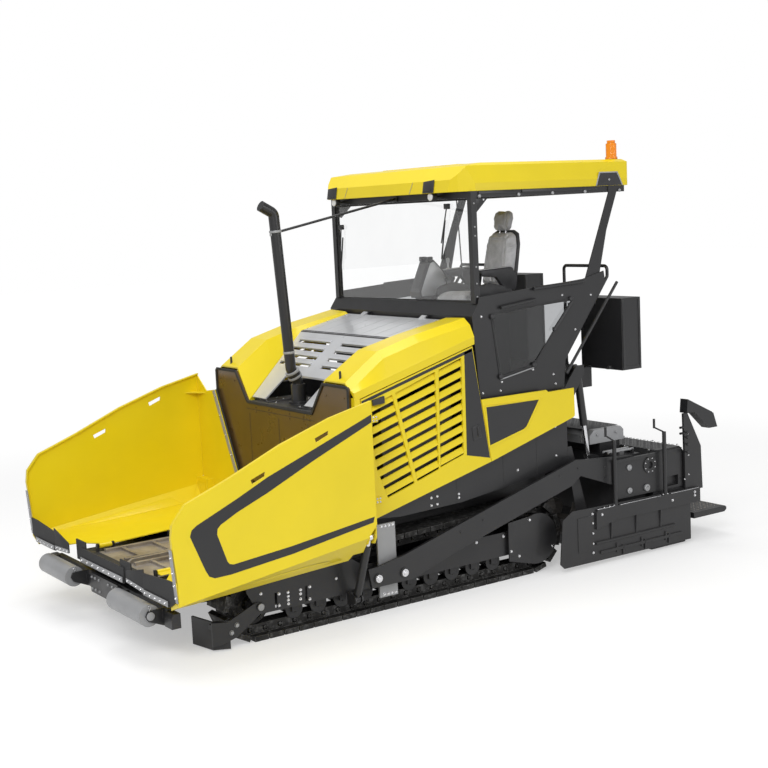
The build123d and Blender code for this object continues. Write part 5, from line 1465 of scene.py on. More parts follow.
@dataclass
class Undercarriage:
    """Bolts and bosses of the tracks, their frames and the tow arms."""

    plate: float = 1.196
    drive: Point = (-0.80, 1.222, 0.35)
    wheelbase: float = 3.005
    rear_radius: float = 0.35
    front_radius: float = 0.30
    shoe_count: int = 52
    link_face: float = 1.0935
    first_roller: Point = (-0.351, 1.109, 0.186)
    roller_count: int = 10
    roller_pitch: float = 0.24
    pin_depth: float = 0.085

    def loop(self, depth: float) -> list[Flat]:
        """The places of the shoes' link pins round the track.

        Args:
            depth: How far the pins lie below the shoes' faces.

        Returns:
            The places, x and z.
        """
        rear, front = self.rear_radius - depth, self.front_radius - depth
        rear_x, front_x = self.drive[0], self.drive[0] + self.wheelbase
        runs = (self.wheelbase, math.pi * front, self.wheelbase, math.pi * rear)
        total, places = sum(runs), []
        for index in range(self.shoe_count):
            along = total * index / self.shoe_count
            if along < runs[0]:
                places.append((rear_x + along, depth))
            elif along < runs[0] + runs[1]:
                turn = (along - runs[0]) / front
                places.append((front_x + front * math.sin(turn), self.front_radius - front * math.cos(turn)))
            elif along < sum(runs[:3]):
                share = (along - runs[0] - runs[1]) / runs[2]
                low, high = 2 * self.front_radius - depth, 2 * self.rear_radius - depth
                places.append((front_x - self.wheelbase * share, low + (high - low) * share))
            else:
                turn = math.pi + (along - sum(runs[:3])) / rear
                places.append((rear_x + rear * math.sin(turn), self.rear_radius - rear * math.cos(turn)))
        return places

    def tracks(self) -> None:
        """Builds the link pins on the outer side of both tracks."""
        places = self.loop(self.pin_depth)
        profile = [(0.017, 0), (0.017, 0.007), (0.013, 0.010), (0.006, 0.010)]
        first = Bench.turned("pin", profile, Axis.Y, (places[0][0], self.link_face, places[0][1]), 8)
        moves = [(x - places[0][0], 0.0, z - places[0][1]) for x, z in places[1:]]
        pair(Bench.repeated("link_pins_left", first, moves), Slot.TRACK)

    def frames(self) -> None:
        """Builds the drive covers, the rollers' caps and the bolts of frames and guides."""
        x0, y0, z0 = self.drive
        rim = [
            (x0 + 0.243 * math.cos(a), z0 + 0.243 * math.sin(a))
            for a in (math.radians(-70 - 10 * i) for i in range(23))
        ]
        cover = [(-0.450, 0.190), *rim, (-0.450, 0.557)]
        pair(Bench.plate("drive_cover_left", cover, Axis.Y, y0 + 0.0002, y0 + 0.0150, 0.005), Slot.DARK)
        places = [
            (x, y0 + 0.015, z) for x, z in ((-0.71, 0.545), (-0.475, 0.284), (-0.57, 0.222), (-0.985, 0.245))
        ]
        pair(Bench.bolts("drive_bolts_left", Axis.Y, 0.011, places), Slot.CHROME)
        spots = (
            (2.167, 0.406), (1.996, 0.371), (2.001, 0.272), (1.910, 0.367), (1.910, 0.334), (1.911, 0.301),
            (1.912, 0.268), (1.788, 0.364), (1.790, 0.330), (1.792, 0.286), (1.697, 0.372), (1.702, 0.266),
            (1.430, 0.392), (0.60, 0.42), (0.34, 0.42), (-0.10, 0.43), (-0.42, 0.43),
        )
        places = [(x, self.plate, z) for x, z in spots]
        pair(Bench.bolts("frame_bolts_left", Axis.Y, 0.011, places), Slot.CHROME)
        cap = [(0.030, 0), (0.030, 0.008), (0.022, 0.014), (0.008, 0.014)]
        first = Bench.turned("cap", cap, Axis.Y, self.first_roller, 16)
        moves = [(self.roller_pitch * i, 0.0, 0.0) for i in range(1, self.roller_count)]
        pair(Bench.repeated("roller_caps_left", first, moves), Slot.TRACK)
        guide = [(x, 1.260, z) for z in (0.175, 0.78) for x in (0.865, 0.905, 0.945, 0.985)]
        pair(Bench.bolts("guide_bolts_left", Axis.Y, 0.012, guide), Slot.CHROME)

    def arms(self) -> None:
        """Builds the pin heads and the bolts of the tow arms."""
        heads = []
        for x in (1.089, 0.813):
            profile = [(0.034, 0), (0.034, 0.006), (0.020, 0.008), (0.020, 0.016), (0.009, 0.018)]
            heads.append(Bench.turned("head", profile, Axis.Y, (x, 1.347, 0.352), 24))
        pair(Bench.join("arm_heads_left", heads), Slot.CHROME, "screed_body")
        spots = ((0.18, 0.60), (-0.08, 0.665), (-1.02, 0.93), (-1.25, 0.97), (-1.60, 0.93), (-1.60, 0.83))
        places = [(x, 1.335, z) for x, z in spots]
        pair(Bench.bolts("arm_bolts_left", Axis.Y, 0.009, places), Slot.DARK, "screed_body")

    def build(self) -> None:
        """Builds everything between the ground and the skirts."""
        self.tracks()
        self.frames()
        self.arms()


# ---------------------------------------------------------------- canopy and platform


@dataclass
class Canopy:
    """Recesses, lamp lenses, rail, wipers and bolts of the roof and its posts."""

    lamp_y: Flat = (0.71, -0.95)
    lamp_z: float = 3.60
    front_low: Flat = (-0.068, 3.634)
    front_high: Flat = (-0.087, 3.738)
    side: float = 1.18
    rail: float = 1.176

    def roof(self) -> None:
        """Builds the dark recesses at the lamps and above the rear posts."""
        pads = []
        for y in self.lamp_y:
            corners = [
                (self.front_low[0], y - 0.075, self.front_low[1]),
                (self.front_low[0], y + 0.095, self.front_low[1]),
                (self.front_high[0], y + 0.095, self.front_high[1] + 0.012),
                (self.front_high[0], y - 0.075, self.front_high[1]),
            ]
            pads.append(Bench.slab("pad", corners, 0.004, 0.001))
        SHOP.dress(Bench.join("lamp_recesses", pads), Slot.LAMP)
        outline = [(-1.735, 3.632), (-1.780, 3.752), (-2.000, 3.752), (-2.065, 3.632)]
        pair(Bench.skin("roof_recess_left", outline, self.side), Slot.LAMP)
        grown = [(-1.722, 3.632), (-1.770, 3.764), (-2.010, 3.764), (-2.078, 3.632)]
        ring = Bench.band(grown, outline)
        pair(Bench.skin("roof_frame_left", ring, self.side, 0.006, 0.0015), Slot.LIGHT)
        pair(Bench.bolts("roof_stud_left", Axis.Y, 0.009, [(-1.90, self.side + SKIN, 3.69)]), Slot.CHROME)
        seams = []
        for y in (0.42, -0.70):
            corners = [
                (self.front_low[0], y, self.front_low[1]), (self.front_low[0], y + 0.005, self.front_low[1]),
                (self.front_high[0], y + 0.045, self.front_high[1]),
                (self.front_high[0], y + 0.040, self.front_high[1]),
            ]
            seams.append(Bench.slab("seam", corners, 0.0012))
        SHOP.dress(Bench.join("roof_front_seams", seams), Slot.LIGHT)

    def lamps(self) -> None:
        """Builds the lenses, bezels and visors of the two work lamps."""
        lenses, bezels = [], []
        for y in self.lamp_y:
            dome = [(0.038, 0), (0.038, 0.003), (0.033, 0.008), (0.022, 0.012), (0.008, 0.014)]
            lenses.append(Bench.turned("lens", dome, Axis.X, (-0.0995, y, self.lamp_z), 32))
            place = (-0.118, y, self.lamp_z)
            bezels.append(Bench.turned("bezel", [(0.047, 0), (0.047, 0.014)], Axis.X, place, 32, 0.002))
            visor = [(y - 0.06, 3.652), (y + 0.05, 3.652), (y + 0.062, 3.663), (y - 0.065, 3.660)]
            bezels.append(Bench.plate("visor", visor, Axis.X, -0.14, -0.060, 0.002))
        SHOP.dress(Bench.join("lamp_bezels", bezels), Slot.LAMP)
        SHOP.dress(Bench.join("lamp_lenses", lenses), Slot.LENS)

    def rails(self) -> None:
        """Builds the rails' strips, studs and gussets under the roof, and the posts' bolts."""
        strips = [
            Bench.box("strip", (start, self.rail, 3.597), (end, self.rail + 0.012, 3.628), 0.003)
            for start, end in ((-0.78, -0.29), (-1.74, -0.80))
        ]
        pair(Bench.join("rail_strips_left", strips), Slot.DARK)
        stud = [(0.016, 0), (0.016, 0.010), (0.012, 0.016), (0.004, 0.018)]
        first = Bench.turned("stud", stud, Axis.Y, (-0.30, self.rail + 0.001, 3.583), 16)
        moves = [(x + 0.30, 0.0, 0.0) for x in (-0.76, -1.17, -1.58, -2.03)]
        pair(Bench.repeated("rail_studs_left", first, moves), Slot.LIGHT)
        gusset = [(-0.268, 3.57), (-0.268, 3.45), (-0.30, 3.44), (-0.44, 3.57)]
        pair(Bench.plate("post_gusset_left", gusset, Axis.Y, 1.125, 1.137, 0.002), Slot.DARK)
        places = [(x, 1.137, z) for x, z in ((-0.288, 3.55), (-0.288, 3.48), (-0.38, 3.552))]
        pair(Bench.bolts("gusset_bolts_left", Axis.Y, 0.008, places), Slot.CHROME)
        places = [(-0.238, 1.176, z) for z in (3.52, 3.31, 3.23, 2.95, 2.80, 2.68)]
        pair(Bench.bolts("post_bolts_left", Axis.Y, 0.007, places), Slot.LIGHT)

    def wipers(self) -> None:
        """Builds the windscreen's rubber frame and its wipers."""
        edge = [(-1.116, 2.622), (1.116, 2.622), (1.116, 3.568), (-1.116, 3.568)]
        inner = [(-1.096, 2.645), (1.096, 2.645), (1.096, 3.552), (-1.096, 3.552)]
        ring = [*edge, edge[0], inner[0], *inner[:0:-1]]
        SHOP.dress(Bench.plate("screen_seal", ring, Axis.X, -0.2345, -0.2265, 0.0), Slot.RUBBER)
        arms = []
        for head, foot, blade_low, blade_high in (
            ((0.80, 3.50), (0.71, 3.17), (0.68, 3.02), (0.755, 3.38)),
            ((-1.02, 3.34), (-1.045, 3.02), (-1.075, 2.90), (-1.01, 3.24)),
        ):
            arms.append(Bench.pipe("arm", [(-0.215, *head), (-0.205, *foot)], 0.006, False))
            arms.append(Bench.pipe("blade", [(-0.224, *blade_low), (-0.224, *blade_high)], 0.0075, False))
            arms.append(
                Bench.box(
                    "motor", (-0.236, head[0] - 0.03, head[1] - 0.02),
                    (-0.20, head[0] + 0.03, head[1] + 0.03), 0.006,
                )
            )
        arms.append(Bench.pipe("stay", [(-0.29, 0.86, 3.56), (-0.27, 0.93, 2.86)], 0.006, False))
        SHOP.dress(Bench.join("wipers", arms), Slot.LAMP)

    def build(self) -> None:
        """Builds everything on the canopy."""
        self.roof()
        self.lamps()
        self.rails()
        self.wipers()


@dataclass
class Platform:
    """Grips, window rubber, catches, tread and console fittings of the driver's platform."""

    face: float = 1.2
    window: tuple[Flat, ...] = ((-0.372, 2.504), (-1.358, 2.573), (-0.856, 1.998), (-0.451, 1.928))

    def sides(self) -> None:
        """Builds the fittings of the outer side walls."""
        middle = (sum(p[0] for p in self.window) / 4, sum(p[1] for p in self.window) / 4)
        outer = [(x + (x - middle[0]) * 0.035, z + (z - middle[1]) * 0.05) for x, z in self.window]
        inner = [(x - (x - middle[0]) * 0.02, z - (z - middle[1]) * 0.03) for x, z in self.window]
        ring = [*outer, outer[0], inner[0], *inner[:0:-1]]
        pair(Bench.skin("window_rubber_left", ring, self.face, 0.005), Slot.RUBBER)
        for name, start, end, radius in (
            ("front", (-0.464, 2.566), (-0.879, 2.608), 0.016),
            ("rear", (-0.862, 2.711), (-1.481, 2.738), 0.018),
            ("window", (-1.335, 2.555), (-1.093, 2.300), 0.015),
        ):
            line = [(start[0], self.face + 0.024, start[1]), (end[0], self.face + 0.024, end[1])]
            bar = Bench.pipe(f"grip_{name}_left", line, radius, False)
            feet = [
                Bench.box(
                    "foot", (x - 0.014, self.face, z - 0.010), (x + 0.014, self.face + 0.024, z + 0.010),
                    0.002,
                )
                for x, z in (between(start, end, 0.08), between(start, end, 0.92))
            ]
            pair(Bench.join(f"grip_{name}_left", [bar, *feet]), Slot.DARK)
        line = [(-0.445, self.face + 0.010, 1.905), (-0.850, self.face + 0.010, 1.975)]
        pair(Bench.pipe("window_rail_left", line, 0.006, False), Slot.LIGHT)
        knob = [(0.020, 0), (0.024, 0.008), (0.024, 0.018), (0.018, 0.024), (0.006, 0.026)]
        spots = ((-0.372, 2.490), (-1.335, 2.580), (-0.850, 2.000), (-0.447, 1.932))
        first = Bench.turned("knob", knob, Axis.Y, (spots[0][0], self.face + 0.003, spots[0][1]), 20)
        moves = [(x - spots[0][0], 0.0, z - spots[0][1]) for x, z in spots[1:]]
        pair(Bench.repeated("window_knobs_left", first, moves), Slot.LAMP)
        spots = (
            (-1.096, 1.884), (-1.389, 2.284), (-0.448, 1.80), (-0.844, 1.955), (-0.466, 1.88),
            (-1.235, 2.624), (-0.255, 2.50), (-0.24, 1.80), (-1.60, 2.60), (-1.12, 1.79),
        )
        places = [(x, self.face, z) for x, z in spots]
        pair(Bench.bolts("wall_bolts_left", Axis.Y, 0.009, places), Slot.CHROME)
        strut = [(-1.255, 1.205, 1.875), (-1.945, 1.205, 2.700)]
        pair(Bench.pipe("wall_strut_left", strut, 0.015, False), Slot.DARK)

    def floor(self) -> None:
        """Builds the chequered tread on the rear part of the platform's floor."""
        SHOP.dress(Bench.tread("floor_tread", (-1.88, -1.48), (-1.28, 0.62), 1.850), Slot.DARK)

    def boxes(self) -> None:
        """Builds the lids, rims and latches of the two boxes at the rear."""
        lids, rims = [], []
        for low, high, bottom, top in ((0.694, 1.276, 1.835, 2.540), (-0.620, -0.150, 1.830, 2.755)):
            latch = (bottom + top) / 2
            lid = (-2.186, low + 0.03, bottom + 0.03), (-2.179, high - 0.03, top - 0.03)
            grip = (-2.200, low + 0.06, latch - 0.06), (-2.185, low + 0.09, latch + 0.06)
            lids += [Bench.box("lid", *lid, 0.003), Bench.box("grip", *grip, 0.004)]
            for z in (bottom + 0.12, top - 0.12):
                corners = (-2.196, high - 0.05, z - 0.03), (-2.180, high - 0.02, z + 0.03)
                lids.append(Bench.box("hinge", *corners, 0.004))
            for start, end, out, upper in (
                (-2.170, -2.150, 0.006, top - 0.02), (-1.955, -1.935, 0.006, top - 0.02),
                (-2.150, -1.955, 0.004, bottom + 0.04),
            ):
                rims.append(Bench.box("rim", (start, high, bottom + 0.02), (end, high + out, upper), 0.002))
        SHOP.dress(Bench.join("box_lids", lids), Slot.DARK)
        SHOP.dress(Bench.join("box_rims", rims), Slot.DARK)

    def console(self) -> None:
        """Builds the console's hood, tabs, display, keys and levers."""
        tray = [
            (-0.302, 0.085, 2.733), (-0.302, 0.195, 2.733), (-0.405, 0.195, 2.955), (-0.405, 0.085, 2.955)
        ]
        shell = [
            Bench.slab("tray", tray, 0.008, 0.003),
            Bench.box("tab", (-0.470, 0.068, 2.985), (-0.405, 0.108, 3.030), 0.006),
            Bench.box("tab", (-0.470, 0.172, 2.985), (-0.405, 0.212, 3.030), 0.006),
            Bench.box("bridge", (-0.462, 0.105, 2.992), (-0.425, 0.175, 3.008), 0.004),
            Bench.box("neck", (-0.345, 0.105, 2.60), (-0.315, 0.175, 2.74), 0.006),
        ]
        SHOP.dress(Bench.join("console_shell", shell), Slot.LAMP)
        side = [(-0.745, 2.655), (-0.315, 2.655), (-0.305, 2.705)]
        side += [(-0.425, 2.965), (-0.468, 2.985), (-0.745, 2.715)]
        SHOP.dress(Bench.plate("console_side", side, Axis.Y, 0.2205, 0.2265, 0.003), Slot.LIGHT)
        desk = Vector((0.29, 0, 0.28)).normalized()
        up = Vector((-desk.z, 0, desk.x))
        start = Vector((-0.76, 0.14, 2.722))

        def on_desk(share: float, y: float, lift: float = 0.0) -> Point:
            """A point on the console's sloping desk."""
            return tuple(start + desk * (share * 0.403) + up * lift + Vector((0, y - 0.14, 0)))

        screen = [on_desk(0.50, 0.085), on_desk(0.50, 0.195), on_desk(0.90, 0.195), on_desk(0.90, 0.085)]
        SHOP.dress(Bench.slab("console_screen", screen[::-1], 0.006, 0.002), Slot.CHROME)
        keys = []
        for row in range(4):
            for column in range(4):
                corner = on_desk(0.08 + 0.10 * row, 0.08 + 0.034 * column)
                far = on_desk(0.14 + 0.10 * row, 0.10 + 0.034 * column, 0.006)
                low = tuple(min(a, b) for a, b in zip(corner, far))
                high = tuple(max(a, b) for a, b in zip(corner, far))
                keys.append(Bench.box("key", low, high, 0.002))
        SHOP.dress(Bench.join("console_keys", keys), Slot.LIGHT)
        levers = []
        ball = [(0.008, 0), (0.017, 0.010), (0.020, 0.022), (0.016, 0.034), (0.006, 0.040)]
        for x, y in ((-0.66, 0.245), (-0.60, 0.245)):
            levers.append(Bench.pipe("lever", [(x, y, 2.66), (x + 0.004, y, 2.79)], 0.005, False))
            levers.append(Bench.turned("ball", ball, Axis.Z, (x + 0.004, y, 2.785), 16))
        SHOP.dress(Bench.join("console_levers", levers), Slot.LAMP)

    def rails(self) -> None:
        """Builds the foot flanges of the handrails."""
        flange = [(0.036, 0), (0.036, 0.006), (0.020, 0.010), (0.020, 0.03)]
        corners = ((-1.215, 1.16), (-1.86, 1.16), (-1.86, 0.54))
        feet = [Bench.turned("flange", flange, Axis.Z, (x, y, 1.850), 24) for x, y in corners]
        pair(Bench.join("rail_feet_left", feet), Slot.DARK)

    def build(self) -> None:
        """Builds everything on the platform."""
        self.sides()
        self.floor()
        self.boxes()
        self.console()
        self.rails()


# ---------------------------------------------------------------- seat


@dataclass
class Seat:
    """The driver's padded seat with its shell, side consoles and headrest posts."""

    place: float = 0.60
    lean: float = -11.0
    voxel: float = 0.006
    pressure: float = 4.0
    stiffness: float = 12.0
    steps: int = 20
    cap: float = 0.024
    seam_depth: float = 0.011
    seam_width: float = 0.009
    back_foot: Point = (-0.925, 0.0, 2.695)
    headrest_foot: Point = (-1.035, 0.0, 3.246)

    def pad(
        self, blank: Piece, seams: Sequence[tuple[Flat, Flat]], axis: Axis, held: Callable[[Vector], bool]
    ) -> Piece:
        """Blows a blank up into a stuffed pad and presses its seams in.

        Args:
            blank: The slightly smaller shape that it starts from.
            seams: Start and end of each sewn line, on the axis's two other directions.
            axis: The direction in which the pad faces.
            held: Says which points rest on the seat's shell and stay.

        Returns:
            The finished pad, without any live modifier.
        """
        Bench.only(blank)
        weave = blank.modifiers.new("weave", "REMESH")
        weave.mode, weave.voxel_size = "VOXEL", self.voxel
        bpy.ops.object.modifier_apply(modifier=weave.name)
        starts = [v.co.copy() for v in blank.data.vertices]
        pinned = blank.vertex_groups.new(name="held")
        pinned.add([i for i, p in enumerate(starts) if held(p)], 1.0, "REPLACE")
        cover = blank.modifiers.new("cover", "CLOTH")
        cover.settings.use_pressure = True
        cover.settings.uniform_pressure_force = self.pressure
        cover.settings.effector_weights.gravity = 0.0
        cover.settings.vertex_group_mass = "held"
        cover.settings.tension_stiffness = cover.settings.compression_stiffness = self.stiffness
        cover.point_cache.frame_start, cover.point_cache.frame_end = 1, self.steps
        for step in range(1, self.steps + 1):
            bpy.context.scene.frame_set(step)
        Bench.only(blank)
        bpy.ops.object.modifier_apply(modifier=cover.name)
        bpy.context.scene.frame_set(1)
        for vertex, start in zip(blank.data.vertices, starts):
            move = vertex.co - start
            if move.length > self.cap:
                vertex.co = start + move * (self.cap / move.length)
        blank.vertex_groups.clear()
        self.sew(blank, seams, axis)
        finer = blank.modifiers.new("finer", "SUBSURF")
        finer.levels = finer.render_levels = 1
        bpy.ops.object.modifier_apply(modifier=finer.name)
        bpy.ops.object.shade_smooth()
        return blank

    def sew(self, pad: Piece, seams: Sequence[tuple[Flat, Flat]], axis: Axis) -> None:
        """Presses sewn lines into the side of the cover that faces along the axis.

        Args:
            pad: The stuffed pad.
            seams: Start and end of each line, on the axis's two other directions.
            axis: The direction in which the pad faces.
        """
        pad.data.update()
        _, first, second = axis.value
        lines = [(Vector(start), Vector(end)) for start, end in seams]
        moves = []
        for vertex in pad.data.vertices:
            spot = Vector((vertex.co[first], vertex.co[second]))
            nearest = 1.0
            for a, b in lines:
                share = max(0.0, min(1.0, (spot - a).dot(b - a) / (b - a).length_squared))
                nearest = min(nearest, (spot - a.lerp(b, share)).length)
            facing = max(0.0, vertex.normal.dot(axis.vector))
            press = math.exp(-((nearest / self.seam_width) ** 2))
            moves.append(axis.vector * -self.seam_depth * facing * press)
        for vertex, move in zip(pad.data.vertices, moves):
            vertex.co += move

    def leaned(self, piece: Piece, foot: Point) -> Piece:
        """Tilts a piece that was made upright over the origin and sets it on its foot."""
        piece.data.transform(Matrix.Translation(foot) @ Matrix.Rotation(math.radians(self.lean), 4, "Y"))
        return piece

    def cushion(self) -> Piece:
        """Makes the cushion, with a rolled front, cross seams and two side bolsters.

        Returns:
            The finished pad.
        """
        outline = [
            (-0.352, 2.605), (-0.350, 2.640), (-0.385, 2.668), (-0.46, 2.676), (-0.70, 2.664), (-0.90, 2.660),
            (-0.93, 2.640), (-0.93, 2.575), (-0.37, 2.575),
        ]
        blank = Bench.plate("seat_cushion", outline, Axis.Y, -0.218, 0.218, 0.022)
        seams = [((-0.42, s * 0.135), (-0.88, s * 0.135)) for s in (-1, 1)]
        seams += [((x, -0.135), (x, 0.135)) for x in (-0.43, -0.60, -0.75)]
        return self.pad(blank, seams, Axis.Z, lambda p: p.z < 2.583)

    def back(self) -> Piece:
        """Makes the back pad, with side bolsters and a V-shaped lower seam.

        Returns:
            The finished pad.
        """
        outline = [
            (-0.17, 0.0), (0.17, 0.0), (0.205, 0.05), (0.214, 0.20), (0.207, 0.42), (0.178, 0.515),
            (0.12, 0.552), (-0.12, 0.552), (-0.178, 0.515), (-0.207, 0.42), (-0.214, 0.20), (-0.205, 0.05),
        ]
        blank = Bench.plate("seat_back", outline, Axis.X, -0.036, 0.032, 0.020)
        seams = [((s * 0.125, 0.20), (s * 0.118, 0.47)) for s in (-1, 1)]
        seams += [((s * 0.125, 0.20), (0.0, 0.05)) for s in (-1, 1)]
        seams += [((-0.118, 0.47), (0.118, 0.47)), ((-0.16, 0.05), (0.16, 0.05))]
        return self.leaned(self.pad(blank, seams, Axis.X, lambda p: p.x < -0.028), self.back_foot)

    def headrest(self) -> Piece:
        """Makes the headrest, wider at its top.

        Returns:
            The finished pad.
        """
        outline = [
            (-0.085, 0.0), (0.085, 0.0), (0.112, 0.03), (0.128, 0.12), (0.110, 0.175), (0.07, 0.193),
            (-0.07, 0.193), (-0.110, 0.175), (-0.128, 0.12), (-0.112, 0.03),
        ]
        blank = Bench.plate("seat_headrest", outline, Axis.X, -0.026, 0.034, 0.018)
        seams = [((s * 0.078, 0.01), (s * 0.086, 0.18)) for s in (-1, 1)]
        return self.leaned(
            self.pad(blank, seams, Axis.X, lambda p: p.x < -0.022 and abs(p.y) < 0.03), self.headrest_foot
        )

    def shell(self) -> Piece:
        """Makes the hard parts: the back shell, the pan and the two side consoles.

        Returns:
            The joined parts.
        """
        outline = [
            (-0.18, -0.03), (0.18, -0.03), (0.224, 0.06), (0.230, 0.20), (0.220, 0.44), (0.186, 0.545),
            (0.12, 0.575), (-0.12, 0.575), (-0.186, 0.545), (-0.220, 0.44), (-0.230, 0.20), (-0.224, 0.06),
        ]
        parts = [self.leaned(Bench.plate("shell", outline, Axis.X, -0.060, -0.030, 0.010), self.back_foot)]
        parts.append(Bench.box("pan", (-0.955, -0.228, 2.558), (-0.350, 0.228, 2.580), 0.010))
        arm = [
            (-0.50, 2.895), (-0.53, 2.840), (-0.70, 2.822), (-0.80, 2.700), (-0.93, 2.690), (-0.955, 2.80),
            (-0.90, 2.908),
        ]
        body = [(-0.40, 2.675), (-0.44, 2.745), (-0.62, 2.775), (-0.88, 2.715), (-0.93, 2.60), (-0.50, 2.60)]
        for side in (-1, 1):
            inner, outer = side * 0.243, side * 0.295
            for name, shape in (("arm", arm), ("body", body)):
                parts.append(Bench.plate(name, shape, Axis.Y, min(inner, outer), max(inner, outer), 0.012))
        return Bench.join("seat_shell", parts)

    def arm_tops(self) -> Piece:
        """Makes the light tops of the side consoles and the stick on the right-hand one.

        Returns:
            The joined parts.
        """
        tops = []
        for y in (-0.269, 0.269):
            low, high = y - 0.024, y + 0.024
            corners = [(-0.505, low, 2.897), (-0.505, high, 2.897)]
            corners += [(-0.885, high, 2.910), (-0.885, low, 2.910)]
            tops.append(Bench.slab("top", corners, 0.009, 0.004))
        profile = [(0.022, 0), (0.024, 0.010), (0.010, 0.020), (0.009, 0.060)]
        profile += [(0.018, 0.075), (0.018, 0.105), (0.006, 0.115)]
        stick = Bench.turned("stick", profile, Axis.Z, (-0.56, -0.269, 2.900), 20)
        return Bench.join("seat_arm_tops", [*tops, stick])

    def posts(self) -> Piece:
        """Makes the two bright posts that carry the headrest.

        Returns:
            The joined posts.
        """
        posts = [
            Bench.pipe("post", [(0.0, s * 0.045, -0.03), (0.0, s * 0.045, 0.03)], 0.006, False)
            for s in (-1, 1)
        ]
        return self.leaned(Bench.join("seat_posts", posts), self.headrest_foot)

    def build(self) -> None:
        """Builds the seat and sets it on its base."""
        sideways = Matrix.Translation((0.0, self.place, 0.0))
        for pad in (self.cushion(), self.back(), self.headrest()):
            pad.data.transform(sideways)
            SHOP.dress(pad, Slot.LEATHER)
            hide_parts("seats")
        for part, slot in (
            (self.shell(), Slot.LAMP), (self.arm_tops(), Slot.LIGHT), (self.posts(), Slot.CHROME)
        ):
            part.data.transform(sideways)
            SHOP.dress(part, slot)


# ---------------------------------------------------------------- screed


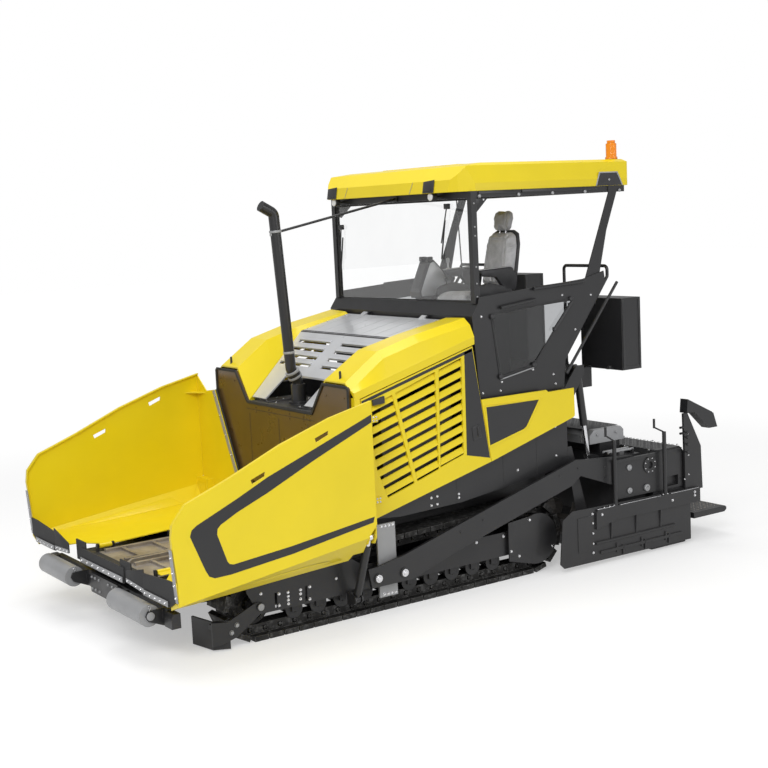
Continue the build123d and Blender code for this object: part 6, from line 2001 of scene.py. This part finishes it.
@dataclass
class Screed:
    """Bolts, worn edges, knobs, treads and control panels of the screed and its extensions."""

    gate: float = 1.404
    beam: float = 1.424
    plate: float = 1.352
    socket: Flat = (-2.182, 0.870)
    cover_top: float = 1.237
    deck: float = 1.0

    def put(self, piece: Piece, slot: Slot) -> None:
        """Dresses a piece on the left extension and its mirror image on the right one."""
        pair(piece, slot, "extension_left_body", "extension_right_body")

    def gates(self) -> None:
        """Builds the worn edges, the fasteners and the ribs of the end gates."""
        strips = [
            Bench.box("edge", (start, self.beam - 0.020, 0.5545), (end, self.beam + 0.002, 0.5590), 0.001)
            for start, end in ((-1.62, -1.40), (-2.26, -1.70), (-2.80, -2.40))
        ]
        self.put(Bench.join("beam_edge_left", strips), Slot.CHROME)
        places = [(-1.352, self.gate, z) for z in (0.14, 0.23, 0.33, 0.43, 0.52)]
        places += [
            (x, self.beam, z) for x, z in ((-2.42, 0.485), (-2.74, 0.485), (-2.74, 0.52), (-1.46, 0.50))
        ]
        self.put(Bench.bolts("gate_bolts_left", Axis.Y, 0.011, places), Slot.CHROME)
        places = [(x, 1.414, 0.5590) for x in (-1.50, -1.57, -1.63, -2.30, -2.36)]
        self.put(Bench.bolts("beam_top_bolts_left", Axis.Z, 0.011, places), Slot.CHROME)
        ribs = []
        for x in (-1.75, -2.05, -2.38):
            corners = [(x, 0.15), (x + 0.018, 0.15), (x + 0.018, 0.055), (x, 0.055)]
            ribs.append(Bench.slab("rib", [(end, self.gate, z) for end, z in corners], 0.014, 0.003))
        self.put(Bench.join("gate_ribs_left", ribs), Slot.DARK)

    def ends(self) -> None:
        """Builds the end plates' bolt ring, bosses, eye, knobs and bolts."""
        x0, z0 = self.socket
        ring = [
            (x0 + 0.070 * math.cos(a), 1.362, z0 + 0.070 * math.sin(a))
            for a in (math.radians(45 * i + 22) for i in range(8))
        ]
        self.put(Bench.bolts("socket_bolts_left", Axis.Y, 0.006, ring), Slot.CHROME)
        profile = [(0.030, 0), (0.030, 0.012), (0.017, 0.016), (0.017, 0.024), (0.008, 0.026)]
        bosses = [
            Bench.turned("boss", profile, Axis.Y, (x, self.plate, z), 24, 0.001)
            for x, z in ((-1.90, 0.655), (-1.90, 0.885))
        ]
        lip = [(0.034, 0), (0.034, 0.020), (0.020, 0.022), (0.018, 0.008)]
        eye = Bench.turned("eye", lip, Axis.Y, (-2.13, self.plate, 0.650), 28, 0.001)
        self.put(Bench.join("end_bosses_left", [*bosses, eye]), Slot.LIGHT)
        profile = [(0.007, 0), (0.007, 0.014), (0.015, 0.020), (0.017, 0.034), (0.013, 0.044), (0.004, 0.047)]
        knobs = [
            Bench.turned("knob", profile, Axis.Y, (-2.66, 1.384, z), 16) for z in (1.14, 1.09, 1.02, 0.94)
        ]
        self.put(Bench.join("upright_knobs_left", knobs), Slot.LAMP)
        places = [(x, 1.384, z) for x, z in ((-2.70, 1.12), (-2.70, 0.90), (-2.70, 0.70), (-2.64, 0.66))]
        self.put(Bench.bolts("upright_bolts_left", Axis.Y, 0.007, places), Slot.CHROME)

    def controls(self) -> None:
        """Builds the bright panels on the control boxes."""
        face = [(-2.700, 1.455), (-3.045, 1.288), (-3.098, 1.160)]
        strips = []
        for (x0, z0), (x1, z1) in zip(face, face[1:]):
            run = Vector((x1 - x0, 0, z1 - z0)).normalized()
            lift = Vector((run.z, 0, -run.x)) * 0.012
            corners = [(x0, 1.310, z0), (x0, 1.390, z0), (x1, 1.390, z1), (x1, 1.310, z1)]
            strips.append(Bench.slab("face", [tuple(Vector(c) + lift) for c in corners], 0.004, 0.001))
        self.put(Bench.join("control_face_left", strips), Slot.CHROME)

    def treads(self) -> None:
        """Builds the treads of the walkways and the extension tops, with the deck's bolts."""
        self.put(Bench.tread("walkway_tread_left", (-3.20, -2.76), (0.06, 1.38), 0.300), Slot.STEEL)
        self.put(Bench.tread("extension_tread_left", (-2.66, -2.22), (0.06, 1.30), self.deck), Slot.DARK)
        places = [(x, y, self.deck) for x in (-2.65, -2.25) for y in (0.10, 0.52, 0.94, 1.28)]
        self.put(Bench.bolts("deck_bolts_left", Axis.Z, 0.010, places), Slot.CHROME)

    def cover(self) -> None:
        """Builds the screed cover's dark top, tread and bolts, and the adjusting bars beside it."""
        bars = [
            Bench.pipe("bar", [(-1.78, s * y, 1.025), (-2.12, s * y, 1.025)], 0.013, False)
            for s in (-1, 1)
            for y in (1.19, 1.12)
        ]
        feet = [
            Bench.box(
                "foot", (x - 0.012, s * 1.155 - 0.060, 0.990), (x + 0.012, s * 1.155 + 0.060, 1.030), 0.004
            )
            for s in (-1, 1) for x in (-1.80, -2.10)
        ]
        SHOP.dress(Bench.join("adjusting_bars", bars), Slot.LIGHT, "screed_body")
        SHOP.dress(Bench.join("adjusting_feet", feet), Slot.DARK, "screed_body")
        places = [(-1.698, s * y, z) for s in (-1, 1) for y in (0.20, 0.55, 0.90) for z in (1.125, 1.16)]
        SHOP.dress(Bench.bolts("cover_bolts", Axis.X, 0.009, places), Slot.CHROME, "screed_body")
        ends = [(x, 1.0205, z) for x, z in ((-1.80, 1.19), (-2.05, 1.19))]
        pair(Bench.bolts("cover_end_bolts_left", Axis.Y, 0.016, ends), Slot.LIGHT, "screed_body")
        top = self.cover_top + 0.003
        sheet = Bench.box("cover_top", (-2.150, -0.95, self.cover_top), (-1.720, 0.95, top), 0.001)
        SHOP.dress(sheet, Slot.DARK, "screed_body")
        tread = Bench.tread("cover_tread", (-2.13, -1.74), (-0.93, 0.93), top)
        SHOP.dress(tread, Slot.DARK, "screed_body")

    def build(self) -> None:
        """Builds everything on the screed."""
        self.gates()
        self.ends()
        self.controls()
        self.treads()
        self.cover()


ASSEMBLIES = (
    HopperWings, Bulkhead, HopperFront, Cowling, Exhaust, Undercarriage, Canopy, Platform, Seat, Screed
)


def main() -> None:
    """Builds the studio and every sub-assembly in order."""
    logging.basicConfig(level=logging.INFO, format="%(message)s")
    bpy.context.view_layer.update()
    Studio().build()
    SHOP.dress_frame()
    for assembly in ASSEMBLIES:
        assembly().build()
        LOG.info("%s ready", assembly.__name__)


if __name__ == "__main__":
    main()
